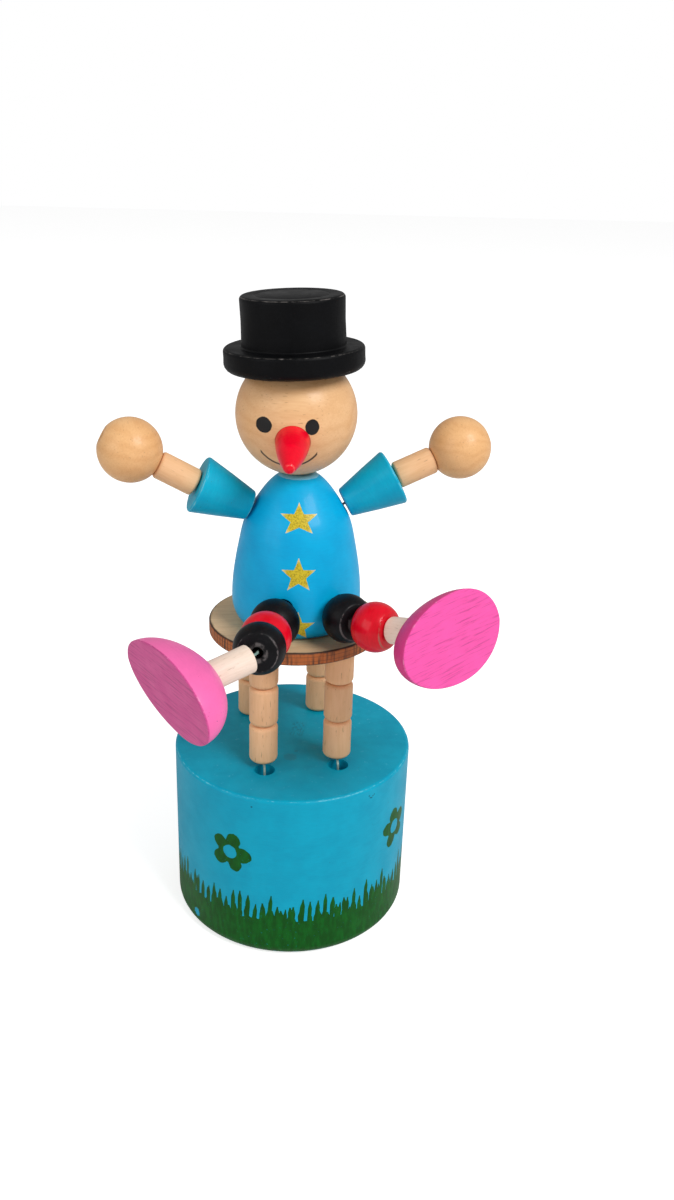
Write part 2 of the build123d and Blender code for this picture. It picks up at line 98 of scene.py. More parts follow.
# ---- places
def heading(azimuth: float, elevation: float) -> Vector:
    """Unit vector from two angles in degrees.

    Args:
        azimuth: from straight ahead (-Y) towards +X.
        elevation: above the level.

    Returns:
        The direction.
    """
    a, e = math.radians(azimuth), math.radians(elevation)
    return Vector((math.sin(a) * math.cos(e), -math.cos(a) * math.cos(e), math.sin(e)))


@dataclass(frozen=True)
class Place:
    """Where a piece stands: the middle of its first face, its axis, its length and radius."""

    origin: Vector
    axis: Vector
    length: float = 0.0
    radius: float = 0.0

    def matrix(self) -> Matrix:
        """Turns and moves a piece that was built along Z at the origin into its place."""
        level = UP.cross(self.axis)
        x = level.normalized() if level.length > 1e-6 else Vector((1, 0, 0))
        columns = Matrix((x, self.axis.cross(x), self.axis)).transposed()
        return Matrix.Translation(self.origin) @ columns.to_4x4()

    def end(self) -> Vector:
        """Middle of the last face."""
        return self.origin + self.axis * self.length


def corners_of(node: str) -> list[Vector]:
    """Every vertex of a CAD node, in metres."""
    return [vertex.co for vertex in frame["nodes"][node].data.vertices]


def place_of(node: str, axis: Vector) -> Place:
    """Reads where a turned CAD node stands.

    Args:
        node: name of the CAD node.
        axis: direction of its axis, outwards along its string.

    Returns:
        Its place, with its length along the axis and its largest radius.
    """
    turned = Place(Vector((0, 0, 0)), axis.normalized()).matrix()
    local = [turned.transposed() @ corner for corner in corners_of(node)]
    low = [min(point[i] for point in local) for i in range(3)]
    high = [max(point[i] for point in local) for i in range(3)]
    first = Vector(((low[0] + high[0]) / 2, (low[1] + high[1]) / 2, low[2]))
    return Place(turned @ first, axis.normalized(), high[2] - low[2], (high[0] - low[0]) / 2)


def new_object(name: str, data: Any) -> Thing:
    """Makes an object from its data and links it to the scene."""
    obj = bpy.data.objects.new(name, data)
    bpy.context.scene.collection.objects.link(obj)
    return obj


def hole_spots(across: float, rows: Pair) -> list[Vector]:
    """Four string holes, in metres, from their distances in millimetres."""
    return [Vector((x, y, 0)) * MM for x in (-across, across) for y in rows]


# ---- outlines of turned pieces
def in_metres(outline: Outline) -> Outline:
    """The outline in metres, from one in millimetres."""
    return [(radius * MM, height * MM) for radius, height in outline]


def arc(centre: Pair, radius: float, start: float, stop: float, steps: int) -> Outline:
    """Points on an arc.

    Args:
        centre: its radius and height.
        radius: of the arc.
        start: first angle in degrees, from level outwards.
        stop: last angle.
        steps: number of points.

    Returns:
        The points, both ends included.
    """
    angles = [math.radians(start + (stop - start) * i / (steps - 1)) for i in range(steps)]
    return [(centre[0] + radius * math.cos(a), centre[1] + radius * math.sin(a)) for a in angles]


def rounded(points: Sequence[Triple], steps: int = 7) -> Outline:
    """Outline through corners that each have a rounding.

    Args:
        points: radius, height and rounding of each corner.
        steps: points on each rounding.

    Returns:
        The outline, with its first and last corner left sharp.
    """
    outline: Outline = [points[0][:2]]
    for before, here, after in zip(points, points[1:], points[2:]):
        corner = Vector(here[:2])
        back = (Vector(before[:2]) - corner).normalized()
        on = (Vector(after[:2]) - corner).normalized()
        if here[2] <= 0:
            outline.append(here[:2])
            continue
        half = back.angle(on) / 2
        first = corner + back * here[2] / math.tan(half)
        last = corner + on * here[2] / math.tan(half)
        centre = corner + (back + on).normalized() * here[2] / math.sin(half)
        for i in range(steps):
            ray = (first - centre).lerp(last - centre, i / (steps - 1)).normalized()
            outline.append(tuple(centre + ray * here[2]))
    outline.append(points[-1][:2])
    return outline


def ball_side(middle: float, radius: float, below: float, above: float, steps: int) -> Outline:
    """Side of a ball between two flats.

    Args:
        middle: height of the ball's middle.
        radius: of the ball.
        below: from its middle down to the lower flat.
        above: from its middle up to the upper flat.
        steps: number of points.

    Returns:
        The points, both ends included.
    """
    low, high = -math.degrees(math.asin(below / radius)), math.degrees(math.asin(above / radius))
    return arc((0, middle), radius, low, high, steps)


def bored(outer: Outline, bore: float) -> Outline:
    """Closes an outline that runs from the low end to the high end with a straight bore."""
    low, high = outer[0][1], outer[-1][1]
    return [(bore, low), *outer, (bore, high), (bore, low)]


# ---- Geometry Nodes
class Tree:
    """A Geometry Nodes tree with named inputs, and one method that adds any node."""

    def __init__(self, name: str, inputs: dict[str, tuple[str, Any]]) -> None:
        """Makes the tree.

        Args:
            name: of the tree.
            inputs: socket type and default of each input, by its name.
        """
        self.tree = bpy.data.node_groups.new(name, "GeometryNodeTree")
        face = self.tree.interface
        face.new_socket(name="Geometry", in_out="OUTPUT", socket_type="NodeSocketGeometry")
        face.new_socket(name="Geometry", in_out="INPUT", socket_type="NodeSocketGeometry")
        self.identifiers: dict[str, str] = {}
        for label, (kind, default) in inputs.items():
            socket = face.new_socket(name=label, in_out="INPUT", socket_type=kind)
            if default is not None:
                socket.default_value = default
            self.identifiers[label] = socket.identifier
        self.inputs = self.tree.nodes.new("NodeGroupInput")

    def input(self, label: str) -> Socket:
        """Output socket of the group input with that name."""
        return self.inputs.outputs[label]

    def add(self, kind: str, settings: dict[str, Any], sockets: dict[Any, Any]) -> bpy.types.Node:
        """Adds a node.

        Args:
            kind: type of the node.
            settings: its properties, set before its sockets.
            sockets: values or links of its inputs, by name or number.

        Returns:
            The node.
        """
        node = self.tree.nodes.new(kind)
        for key, setting in settings.items():
            setattr(node, key, setting)
        for key, value in sockets.items():
            if isinstance(value, Socket):
                self.tree.links.new(value, node.inputs[key])
            else:
                node.inputs[key].default_value = value
        return node

    def math(self, operation: str, *values: Any) -> Socket:
        """Adds a Math node and gives its result."""
        node = self.add("ShaderNodeMath", {"operation": operation}, dict(enumerate(values)))
        return node.outputs[0]

    def wrap(self, points: Socket, turns: Socket, radius: Socket, height: Socket) -> Socket:
        """Sets points round the Z axis.

        Args:
            points: the geometry that is moved.
            turns: how far round each point goes, in full turns.
            radius: its distance from the axis.
            height: its height.

        Returns:
            The moved geometry.
        """
        turn = self.math("MULTIPLY", turns, 2 * math.pi)
        parts = {
            0: self.math("MULTIPLY", radius, self.math("COSINE", turn)),
            1: self.math("MULTIPLY", radius, self.math("SINE", turn)),
            2: height,
        }
        place = self.add("ShaderNodeCombineXYZ", {}, parts).outputs[0]
        return self.add("GeometryNodeSetPosition", {}, {"Geometry": points, "Position": place}).outputs[0]

    def tube(self, curve: Socket, radius: Socket, sides: Any) -> None:
        """Sweeps a circle along a curve and ends the tree.

        Args:
            curve: the way.
            radius: of the circle.
            sides: number of its corners.
        """
        ring = self.add("GeometryNodeCurvePrimitiveCircle", {}, {"Resolution": sides, "Radius": radius})
        sockets = {"Curve": curve, "Profile Curve": ring.outputs[0], "Fill Caps": True}
        self.close(self.add("GeometryNodeCurveToMesh", {}, sockets).outputs[0])

    def close(self, mesh: Socket) -> None:
        """Ends the tree with smooth faces, real geometry and the material.

        Args:
            mesh: what the tree made.
        """
        smooth = self.add("GeometryNodeSetShadeSmooth", {}, {"Geometry": mesh})
        real = self.add("GeometryNodeRealizeInstances", {}, {"Geometry": smooth.outputs[0]})
        sockets = {"Geometry": real.outputs[0], "Material": self.input("Material")}
        finish = self.add("GeometryNodeSetMaterial", {}, sockets)
        output = self.tree.nodes.new("NodeGroupOutput")
        self.tree.links.new(finish.outputs[0], output.inputs[0])


def lathe_tree() -> Tree:
    """Tree that spins an outline, whose X is the radius and Z the height, about the Z axis."""
    tree = Tree("lathe", {
        "Segments": ("NodeSocketInt", 96),
        "Weld": ("NodeSocketFloat", 1e-6),
        "Material": ("NodeSocketMaterial", None),
    })
    outline = tree.input("Geometry")
    count = tree.add("GeometryNodeAttributeDomainSize", {"component": "MESH"}, {0: outline}).outputs[0]
    rings = tree.math("ADD", tree.input("Segments"), 1.0)
    grid = tree.add("GeometryNodeMeshGrid", {}, {"Vertices X": rings, "Vertices Y": count})
    index = tree.add("GeometryNodeInputIndex", {}, {}).outputs[0]
    ring = tree.math("FLOOR", tree.math("DIVIDE", index, count))
    step = tree.math("SUBTRACT", index, tree.math("MULTIPLY", ring, count))
    position = tree.add("GeometryNodeInputPosition", {}, {}).outputs[0]
    point = tree.add(
        "GeometryNodeSampleIndex",
        {"data_type": "FLOAT_VECTOR", "domain": "POINT"},
        {"Geometry": outline, "Value": position, "Index": step},
    )
    split = tree.add("ShaderNodeSeparateXYZ", {}, {0: point.outputs[0]})
    turns = tree.math("DIVIDE", ring, tree.input("Segments"))
    spun = tree.wrap(grid.outputs[0], turns, split.outputs[0], split.outputs[2])
    welded = tree.add("GeometryNodeMergeByDistance", {}, {"Geometry": spun, "Distance": tree.input("Weld")})
    tree.close(welded.outputs[0])
    return tree


def strand_tree() -> Tree:
    """Tree that sweeps a round strand along a line of points, with its bends rounded."""
    tree = Tree("strand", {
        "Radius": ("NodeSocketFloat", 0.25 * MM),
        "Bend": ("NodeSocketFloat", 0.0),
        "Sides": ("NodeSocketInt", 12),
        "Material": ("NodeSocketMaterial", None),
    })
    line = tree.add("GeometryNodeMeshToCurve", {}, {0: tree.input("Geometry")})
    sockets = {"Curve": line.outputs[0], "Radius": tree.input("Bend"), "Limit Radius": True}
    bent = tree.add("GeometryNodeFilletCurve", {}, sockets)
    if "Mode" in bent.inputs:
        bent.inputs["Mode"].default_value = "Poly"
    else:
        bent.mode = "POLY"
    bent.inputs["Count"].default_value = 5
    tree.tube(bent.outputs[0], tree.input("Radius"), tree.input("Sides"))
    return tree


def coil_tree() -> Tree:
    """Tree that winds a spring's wire evenly between two heights."""
    tree = Tree("coil", {
        "Turns": ("NodeSocketFloat", 6.0),
        "Radius": ("NodeSocketFloat", 8.5 * MM),
        "Low": ("NodeSocketFloat", 0.0),
        "High": ("NodeSocketFloat", 20 * MM),
        "Wire": ("NodeSocketFloat", 0.6 * MM),
        "Steps": ("NodeSocketInt", 288),
        "Material": ("NodeSocketMaterial", None),
    })
    line = tree.add("GeometryNodeMeshLine", {}, {"Count": tree.input("Steps")})
    curve = tree.add("GeometryNodeMeshToCurve", {}, {0: line.outputs[0]})
    index = tree.add("GeometryNodeInputIndex", {}, {}).outputs[0]
    share = tree.math("DIVIDE", index, tree.math("SUBTRACT", tree.input("Steps"), 1.0))
    turns = tree.math("MULTIPLY", share, tree.input("Turns"))
    rise = tree.math("SUBTRACT", tree.input("High"), tree.input("Low"))
    height = tree.math("ADD", tree.input("Low"), tree.math("MULTIPLY", rise, share))
    wound = tree.wrap(curve.outputs[0], turns, tree.input("Radius"), height)
    tree.tube(wound, tree.input("Wire"), 16)
    return tree


class Workshop:
    """Builds meshes with the three trees, drills them and hands them over to the frame."""

    def __init__(self) -> None:
        """Makes the trees."""
        self.lathe, self.strand, self.coil = lathe_tree(), strand_tree(), coil_tree()

    def line(self, name: str, points: Sequence[Sequence[float]]) -> Thing:
        """A row of points to feed a tree.

        Args:
            name: of the object.
            points: joined by edges in this order.

        Returns:
            The object.
        """
        mesh = bpy.data.meshes.new(name)
        mesh.from_pydata([tuple(point) for point in points], [(i, i + 1) for i in range(len(points) - 1)], [])
        return new_object(name, mesh)

    def bake(self, obj: Thing) -> bpy.types.Mesh:
        """Turns an object's modifiers into its plain mesh.

        Args:
            obj: the object, which keeps no modifier.

        Returns:
            Its new mesh.
        """
        shaped = obj.evaluated_get(bpy.context.evaluated_depsgraph_get())
        mesh = bpy.data.meshes.new_from_object(shaped)
        obj.modifiers.clear()
        old, obj.data = obj.data, mesh
        bpy.data.meshes.remove(old)
        mesh.name = obj.name
        return mesh

    def grow(self, obj: Thing, tree: Tree, values: dict[str, Any]) -> Thing:
        """Runs a tree on an object and keeps the result as its plain mesh.

        Args:
            obj: the object that feeds the tree.
            tree: which tree.
            values: its inputs, by name.

        Returns:
            The same object, with its new mesh and no modifier.
        """
        modifier = obj.modifiers.new(tree.tree.name, "NODES")
        modifier.node_group = tree.tree
        for label, value in values.items():
            modifier[tree.identifiers[label]] = value
        mesh = self.bake(obj)
        mesh.materials.clear()
        mesh.materials.append(values["Material"])
        mesh.polygons.foreach_set("material_index", [0] * len(mesh.polygons))
        return obj

    def tidy(self, obj: Thing, sharp: float) -> None:
        """Points the faces outwards and marks the crisp edges.

        Args:
            obj: the piece.
            sharp: degrees above which an edge stays crisp.
        """
        work = bmesh.new()
        work.from_mesh(obj.data)
        bmesh.ops.remove_doubles(work, verts=work.verts, dist=1e-7)
        bmesh.ops.recalc_face_normals(work, faces=work.faces)
        for face in work.faces:
            face.smooth = True
        work.to_mesh(obj.data)
        work.free()
        obj.data.set_sharp_from_angle(angle=math.radians(sharp))

    def turned(
        self, name: str, outline: Outline, place: Place, material: Finish,
        segments: int = 96, sharp: float = 40.0,
    ) -> Thing:
        """Spins an outline and stands it in its place.

        Args:
            name: of the piece.
            outline: radius and height of each point, from the low end round to the high end.
            place: where it stands.
            material: its finish.
            segments: faces round it.
            sharp: degrees above which an edge stays crisp.

        Returns:
            The piece.
        """
        obj = self.line(name, [(radius, 0.0, height) for radius, height in outline])
        self.grow(obj, self.lathe, {"Segments": segments, "Material": material})
        obj.data.transform(place.matrix())
        self.tidy(obj, sharp)
        return obj

    def drill(
        self, obj: Thing, holes: Sequence[tuple[Vector, Vector, float]], sharp: float = 40.0
    ) -> None:
        """Cuts round holes into a piece.

        Args:
            obj: the piece.
            holes: start, end and diameter of each.
            sharp: degrees above which an edge stays crisp.
        """
        for start, end, diameter in holes:
            along, depth = Place(start, (end - start).normalized()), (end - start).length
            solid = [(0, 0), (diameter / 2, 0), (diameter / 2, depth), (0, depth)]
            bit = self.turned("bit", solid, along, obj.data.materials[0], segments=48)
            cut = obj.modifiers.new("drill", "BOOLEAN")
            cut.operation, cut.solver, cut.object = "DIFFERENCE", "EXACT", bit
            self.bake(obj)
            bpy.data.objects.remove(bit)
        self.tidy(obj, sharp)
        obj.modifiers.new("normals", "WEIGHTED_NORMAL").keep_sharp = True

    def hand_over(self, obj: Thing, body: str, slot: str, node: str) -> Thing:
        """Makes a piece ride on its body and stand for its CAD node."""
        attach(obj, body)
        return self.declare(obj, slot, node)

    def declare(self, obj: Thing, slot: str, node: str) -> Thing:
        """Hides the CAD node that a piece stands for, and logs the piece.

        Args:
            obj: the piece.
            slot: name of its material slot; not used.
            node: the CAD node that it replaces.

        Returns:
            The piece.
        """
        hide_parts(node)
        LOG.info("%s: %d faces, for %s", obj.name, len(obj.data.polygons), node)
        return obj


# ---- shader maths
class Value:
    """A number or colour that varies over a surface; its operators add Math nodes."""

    def __init__(self, graph: "Graph", socket: Socket) -> None:
        """Wraps a socket of a graph."""
        self.graph, self.socket = graph, socket

    def math(self, operation: str, *others: Number) -> "Value":
        """Adds a Math node whose first input is this value."""
        return self.graph.add("ShaderNodeMath", {"operation": operation}, dict(enumerate((self, *others))))

    def __add__(self, other: Number) -> "Value":
        """Sum."""
        return self.math("ADD", other)

    __radd__ = __add__

    def __mul__(self, other: Number) -> "Value":
        """Product."""
        return self.math("MULTIPLY", other)

    __rmul__ = __mul__

    def __sub__(self, other: Number) -> "Value":
        """Difference."""
        return self.math("SUBTRACT", other)

    def __rsub__(self, other: float) -> "Value":
        """Difference from a number."""
        return self * -1.0 + other

    def __truediv__(self, other: Number) -> "Value":
        """Quotient."""
        return self.math("DIVIDE", other)

    def __pow__(self, other: float) -> "Value":
        """Power."""
        return self.math("POWER", other)

    def __abs__(self) -> "Value":
        """Size without its sign."""
        return self.math("ABSOLUTE")

    def __lt__(self, other: Number) -> "Value":
        """1 where it is below the other, else 0."""
        return self.math("LESS_THAN", other)

    def __gt__(self, other: Number) -> "Value":
        """1 where it is above the other, else 0."""
        return self.math("GREATER_THAN", other)

    def __or__(self, other: Number) -> "Value":
        """Larger of the two, which joins masks."""
        return self.math("MAXIMUM", other)

    def __and__(self, other: Number) -> "Value":
        """Smaller of the two, which cuts masks."""
        return self.math("MINIMUM", other)

    def hypot(self, other: "Value") -> "Value":
        """Distance from the middle, from this and another part at a right angle."""
        return (self * self + other * other).math("SQRT")

    def ramp(self, low: float, high: float, start: float = 0.0, stop: float = 1.0) -> "Value":
        """Smooth step between two levels.

        Args:
            low: level where the step begins.
            high: level where it ends.
            start: result at the first level.
            stop: result at the second level.

        Returns:
            The step.
        """
        sockets = {"Value": self, "From Min": low, "From Max": high, "To Min": start, "To Max": stop}
        return self.graph.add("ShaderNodeMapRange", {"interpolation_type": "SMOOTHSTEP"}, sockets)


class Graph:
    """A material's nodes, with one method that adds any of them."""

    def __init__(self, name: str) -> None:
        """Makes an empty material."""
        self.material = bpy.data.materials.new(name)
        self.material.use_nodes = True
        self.tree = self.material.node_tree
        self.tree.nodes.clear()

    def add(self, kind: str, settings: dict[str, Any], sockets: dict[Any, Any], out: Any = 0) -> Value:
        """Adds a node.

        Args:
            kind: type of the node.
            settings: its properties, or a ramp's stops, set before its sockets.
            sockets: values or links of its inputs, by name or number.
            out: which output is wanted.

        Returns:
            The wanted output.
        """
        node = self.tree.nodes.new(kind)
        for key, setting in settings.items():
            if key == "stops":
                for i, (where, colour) in enumerate(setting):
                    stop = node.color_ramp.elements[i] if i < 2 else node.color_ramp.elements.new(where)
                    stop.position, stop.color = where, colour
            else:
                setattr(node, key, setting)
        for key, value in sockets.items():
            if isinstance(value, Value):
                self.tree.links.new(value.socket, node.inputs[key])
            else:
                node.inputs[key].default_value = value
        return Value(self, node.outputs[out])

    def local(self, place: Place) -> Value:
        """Millimetres in a piece's own frame.

        Args:
            place: of the piece.

        Returns:
            A vector whose Z runs along the axis from the first face.
        """
        coordinates = self.add("ShaderNodeTexCoord", {}, {}, "Object")
        sockets = {0: coordinates, "Location": place.origin, "Rotation": place.matrix().to_euler()}
        turned = self.add("ShaderNodeMapping", {"vector_type": "TEXTURE"}, sockets)
        return self.stretch(turned, (1 / MM, 1 / MM, 1 / MM))

    def stretch(self, vector: Value, factors: Triple) -> Value:
        """The vector with each part multiplied."""
        return self.add("ShaderNodeVectorMath", {"operation": "MULTIPLY"}, {0: vector, 1: factors})

    def parts(self, vector: Value) -> tuple[Value, Value, Value]:
        """Splits a vector.

        Args:
            vector: any vector.

        Returns:
            Its three parts.
        """
        first = self.add("ShaderNodeSeparateXYZ", {}, {0: vector})
        outputs = first.socket.node.outputs
        return first, Value(self, outputs[1]), Value(self, outputs[2])

    def joined(self, x: Number, y: Number, z: Number) -> Value:
        """A vector from three numbers."""
        return self.add("ShaderNodeCombineXYZ", {}, {0: x, 1: y, 2: z})

    def noise(self, vector: Value, scale: float = 1.0, detail: float = 3.0, rough: float = 0.55) -> Value:
        """Cloudy noise between 0 and 1."""
        sockets = {"Vector": vector, "Scale": scale, "Detail": detail, "Roughness": rough}
        return self.add("ShaderNodeTexNoise", {}, sockets)

    def chance(self, vector: Value) -> Value:
        """A random number that is the same all over one cell."""
        return self.add("ShaderNodeTexWhiteNoise", {"noise_dimensions": "3D"}, {"Vector": vector}, "Value")

    def mix(self, share: Number, first: Any, second: Any) -> Value:
        """Blends two colours."""
        return self.add("ShaderNodeMix", {"data_type": "RGBA"}, {0: share, 6: first, 7: second}, 2)

    def shade(
        self, colour: Any, roughness: Number, height: Optional[Value] = None, depth: float = 0.02,
        constants: Optional[dict[str, Any]] = None, metallic: Number = 0.0,
    ) -> Finish:
        """Ends the material.

        Args:
            colour: base colour.
            roughness: of the surface.
            height: what the bump follows, 0 to 1.
            depth: its height in millimetres.
            constants: fixed values of other shader sockets.
            metallic: 0 or 1.

        Returns:
            The material.
        """
        sockets: dict[Any, Any] = {"Base Color": colour, "Roughness": roughness, "Metallic": metallic}
        if height is not None:
            bump = {"Height": height, "Distance": depth * MM, "Strength": 1.0}
            sockets["Normal"] = self.add("ShaderNodeBump", {}, bump)
        sockets.update(constants or {})
        return self.finish(self.add("ShaderNodeBsdfPrincipled", {}, sockets))

    def finish(self, shader: Value) -> Finish:
        """Joins a shader to the material's output.

        Args:
            shader: what is seen.

        Returns:
            The material.
        """
        output = self.tree.nodes.new("ShaderNodeOutputMaterial")
        self.tree.links.new(shader.socket, output.inputs[0])
        return self.material


# ---- finishes
Colour = tuple[float, float, float, float]
Decoration = Callable[[Graph, Value, Value], Value]
Wear = Callable[[Graph, Value], Value]


def rgb(red: float, green: float, blue: float) -> Colour:
    """Opaque colour from three linear numbers."""
    return (red, green, blue, 1.0)


class Grain(Enum):
    """Which way a turned piece's wood runs."""

    ALONG = "along its string"
    ACROSS = "across its string"


@dataclass(frozen=True)
class Timber:
    """Bare or lacquered wood with fibres, year rings and pores."""

    light: Colour = rgb(0.74, 0.50, 0.30)
    dark: Colour = rgb(0.58, 0.34, 0.17)
    pore: Colour = rgb(0.33, 0.17, 0.08)
    grain: Grain = Grain.ALONG
    ring: float = 1.6
    ring_share: float = 0.45
    roughness: float = 0.55
    lacquer: float = 0.0
    seed: float = 0.0

    def fibres(self, g: Graph, p: Value) -> tuple[Value, Value]:
        """Year rings and fine fibres.

        Args:
            g: the material's graph.
            p: place on the piece, in millimetres.

        Returns:
            Ring shade and fibre shade, 0 to 1.
        """
        x, y, z = g.parts(p)
        run, one, two = (z, x, y) if self.grain is Grain.ALONG else (x, y, z)
        long = g.joined(one + self.seed, two, run * 0.07)
        bend = g.noise(g.joined(one * 0.12, two * 0.12 + self.seed, run * 0.03), 1.0, 2.0)
        phase = (one * 0.8 + two * 0.35 + bend * 9.0) / self.ring + self.seed
        ring = (phase * (2 * math.pi)).math("SINE") * 0.5 + 0.5
        fibre = g.noise(long, 3.2, 4.0, 0.65)
        return ring ** 1.6, fibre

    def dress(self, name: str, place: Place, decoration: Optional[Decoration] = None) -> Finish:
        """Makes the material for a piece.

        Args:
            name: of the material.
            place: the piece's place, which the grain follows.
            decoration: paints over the wood.

        Returns:
            The material.
        """
        g = Graph(name)
        p = g.local(place)
        x, y, z = g.parts(p)
        ring, fibre = self.fibres(g, p)
        cloud = g.noise(p, 0.16, 2.0).ramp(0.3, 0.7)
        shade = (ring * self.ring_share + fibre.ramp(0.3, 0.75) * 0.45 + cloud * 0.25) & 1.0
        wood = g.mix(shade, self.light, self.dark)
        run = z if self.grain is Grain.ALONG else x
        others = (x, y) if self.grain is Grain.ALONG else (y, z)
        dash = g.noise(g.joined(others[0] * 2.4, others[1] * 2.4, run * 0.32 + self.seed), 1.6, 1.0)
        pores = dash.ramp(0.68, 0.76)
        wood = g.mix(pores * 0.55, wood, self.pore)
        if decoration is not None:
            wood = decoration(g, p, wood)
        height = fibre * 0.5 - pores * 0.5 + ring * 0.12
        roughness = fibre.ramp(0.2, 0.8, self.roughness - 0.07, self.roughness + 0.07)
        fixed = {"Coat Weight": self.lacquer, "Coat Roughness": 0.16, "Specular IOR Level": 0.25}
        return g.shade(wood, roughness, height, 0.03 if self.lacquer else 0.07, fixed)


@dataclass(frozen=True)
class Paint:
    """Brushed or dipped paint over turned wood."""

    colour: Colour
    deep: Colour
    worn: Colour = rgb(0.55, 0.36, 0.2)
    roughness: float = 0.34
    gloss: float = 0.12
    sheen: float = 0.18
    fibre: float = 0.05
    specks: float = 0.0
    dust: float = 0.0
    dust_colour: Colour = rgb(0.35, 0.34, 0.33)
    streak: float = 0.0
    seed: float = 0.0

    def dress(
        self, name: str, place: Place, decoration: Optional[Decoration] = None, wear: Optional[Wear] = None
    ) -> Finish:
        """Makes the material for a piece.

        Args:
            name: of the material.
            place: the piece's place.
            decoration: paints over the coat.
            wear: gives 0 to 1 where the coat is rubbed off.

        Returns:
            The material.
        """
        g = Graph(name)
        p = g.local(place)
        x, y, z = g.parts(p)
        moved = g.joined(x + self.seed, y - self.seed, z + self.seed * 0.5)
        cloud = g.noise(moved, 0.22, 3.0).ramp(0.28, 0.72)
        lay = g.noise(g.joined(x * 0.5, y * 0.5 + self.seed, z * 3.2), 1.1, 3.0)
        grain = g.noise(g.joined(x * 2.6 + self.seed, y * 2.6, z * 0.22), 1.3, 4.0, 0.65)
        coat = g.mix(cloud * 0.55 + lay.ramp(0.35, 0.7) * 0.3, self.colour, self.deep)
        if self.streak:
            coat = g.mix(grain.ramp(0.56, 0.66) * self.streak, coat, self.deep)
        if decoration is not None:
            coat = decoration(g, p, coat)
        if self.specks:
            spots = g.noise(moved, 1.7, 2.0).ramp(0.72, 0.75) * g.noise(moved, 0.13, 1.0).ramp(0.45, 0.6)
            coat = g.mix(spots * self.specks, coat, rgb(0.02, 0.03, 0.04))
        dusty = g.noise(moved, 0.9, 5.0, 0.7).ramp(0.5, 0.85)
        if self.dust:
            coat = g.mix(dusty * self.dust, coat, self.dust_colour)
        roughness = (cloud * 0.08 + dusty * 0.16 * (1.0 if self.dust else 0.3)) + self.roughness
        if wear is not None:
            bare = wear(g, p)
            coat = g.mix(bare, coat, self.worn)
            roughness = roughness + bare * 0.2
        height = grain * 0.6 + lay * 0.25
        fixed = {"Coat Weight": self.gloss, "Coat Roughness": 0.12, "Specular IOR Level": self.sheen}
        return g.shade(coat, roughness, height, self.fibre, fixed)


@dataclass(frozen=True)
class Ply:
    """Plywood seat: sanded faces and a burnt, laser-cut edge."""

    face: Colour = rgb(0.90, 0.62, 0.36)
    face_dark: Colour = rgb(0.68, 0.44, 0.24)
    edge: Colour = rgb(0.46, 0.125, 0.025)
    burnt: Colour = rgb(0.055, 0.026, 0.014)

    def dress(self, name: str, place: Place) -> Finish:
        """Makes the material.

        Args:
            name: of the material.
            place: the middle of the seat's lower face.

        Returns:
            The material.
        """
        g = Graph(name)
        p = g.local(place)
        x, y, z = g.parts(p)
        radius, thickness = place.radius / MM, place.length / MM
        reach = x.hypot(y)
        fibre = g.noise(g.joined(x * 0.08, y * 2.2, z * 2.0), 1.4, 5.0, 0.65)
        cloud = g.noise(p, 0.14, 3.0).ramp(0.3, 0.7)
        top = g.mix(fibre.ramp(0.35, 0.7) * 0.6 + cloud * 0.35, self.face, self.face_dark)
        singe = g.noise(g.joined(x * 0.5, y * 0.5, 0.0), 1.0, 2.0) * 1.2 + reach
        top = g.mix(singe.ramp(radius - 0.1, radius + 1.0), top, self.burnt)
        marks = g.noise(g.joined(x * 1.4, y * 1.4, z * 0.12), 1.2, 3.0)
        side = g.mix(marks.ramp(0.42, 0.7), self.edge, self.burnt)
        band = abs(z - thickness / 2) / (thickness / 2)
        ragged = band + g.noise(g.joined(x, y, z * 0.4), 0.9, 3.0) * 0.35
        side = g.mix(ragged.ramp(0.86, 1.12), side, self.burnt)
        glue = abs(abs(z - thickness / 2) - thickness / 6) < 0.07
        side = g.mix(glue * 0.45, side, self.burnt)
        out = reach.ramp(radius - 0.42, radius - 0.2)
        roughness = fibre.ramp(0.2, 0.8, 0.5, 0.68)
        height = fibre * (1.0 - out) + marks * out
        return g.shade(g.mix(out, top, side), roughness, height, 0.08, {"Specular IOR Level": 0.4})


@dataclass(frozen=True)
class Nylon:
    """Clear nylon line with a green tinge."""

    colour: Colour = rgb(0.42, 0.56, 0.48)
    dark: Colour = rgb(0.16, 0.30, 0.27)

    def dress(self, name: str) -> Finish:
        """Makes the material.

        Args:
            name: of the material.

        Returns:
            The material.
        """
        g = Graph(name)
        cloud = g.noise(g.local(Place(Vector((0, 0, 0)), UP)), 0.8, 3.0)
        colour = g.mix(cloud.ramp(0.3, 0.7), self.colour, self.dark)
        fixed = {"Coat Weight": 0.4, "Coat Roughness": 0.1}
        return g.shade(colour, cloud.ramp(0.2, 0.8, 0.25, 0.4), cloud, 0.01, fixed)


@dataclass(frozen=True)
class Steel:
    """Drawn spring wire, with a trace of oil and rust."""

    colour: Colour = rgb(0.48, 0.48, 0.50)
    stain: Colour = rgb(0.20, 0.15, 0.11)

    def dress(self, name: str, place: Place) -> Finish:
        """Makes the material.

        Args:
            name: of the material.
            place: where the coil's lower end stands.

        Returns:
            The material.
        """
        g = Graph(name)
        p = g.local(place)
        x, y, z = g.parts(p)
        draw = g.noise(g.joined(x * 0.4, y * 0.4, z * 8.0), 2.0, 3.0)
        cloud = g.noise(p, 0.5, 4.0).ramp(0.55, 0.8)
        colour = g.mix(cloud * 0.6, self.colour, self.stain)
        return g.shade(colour, draw.ramp(0.3, 0.7, 0.24, 0.42) + cloud * 0.2, draw, 0.01, None, 1.0)


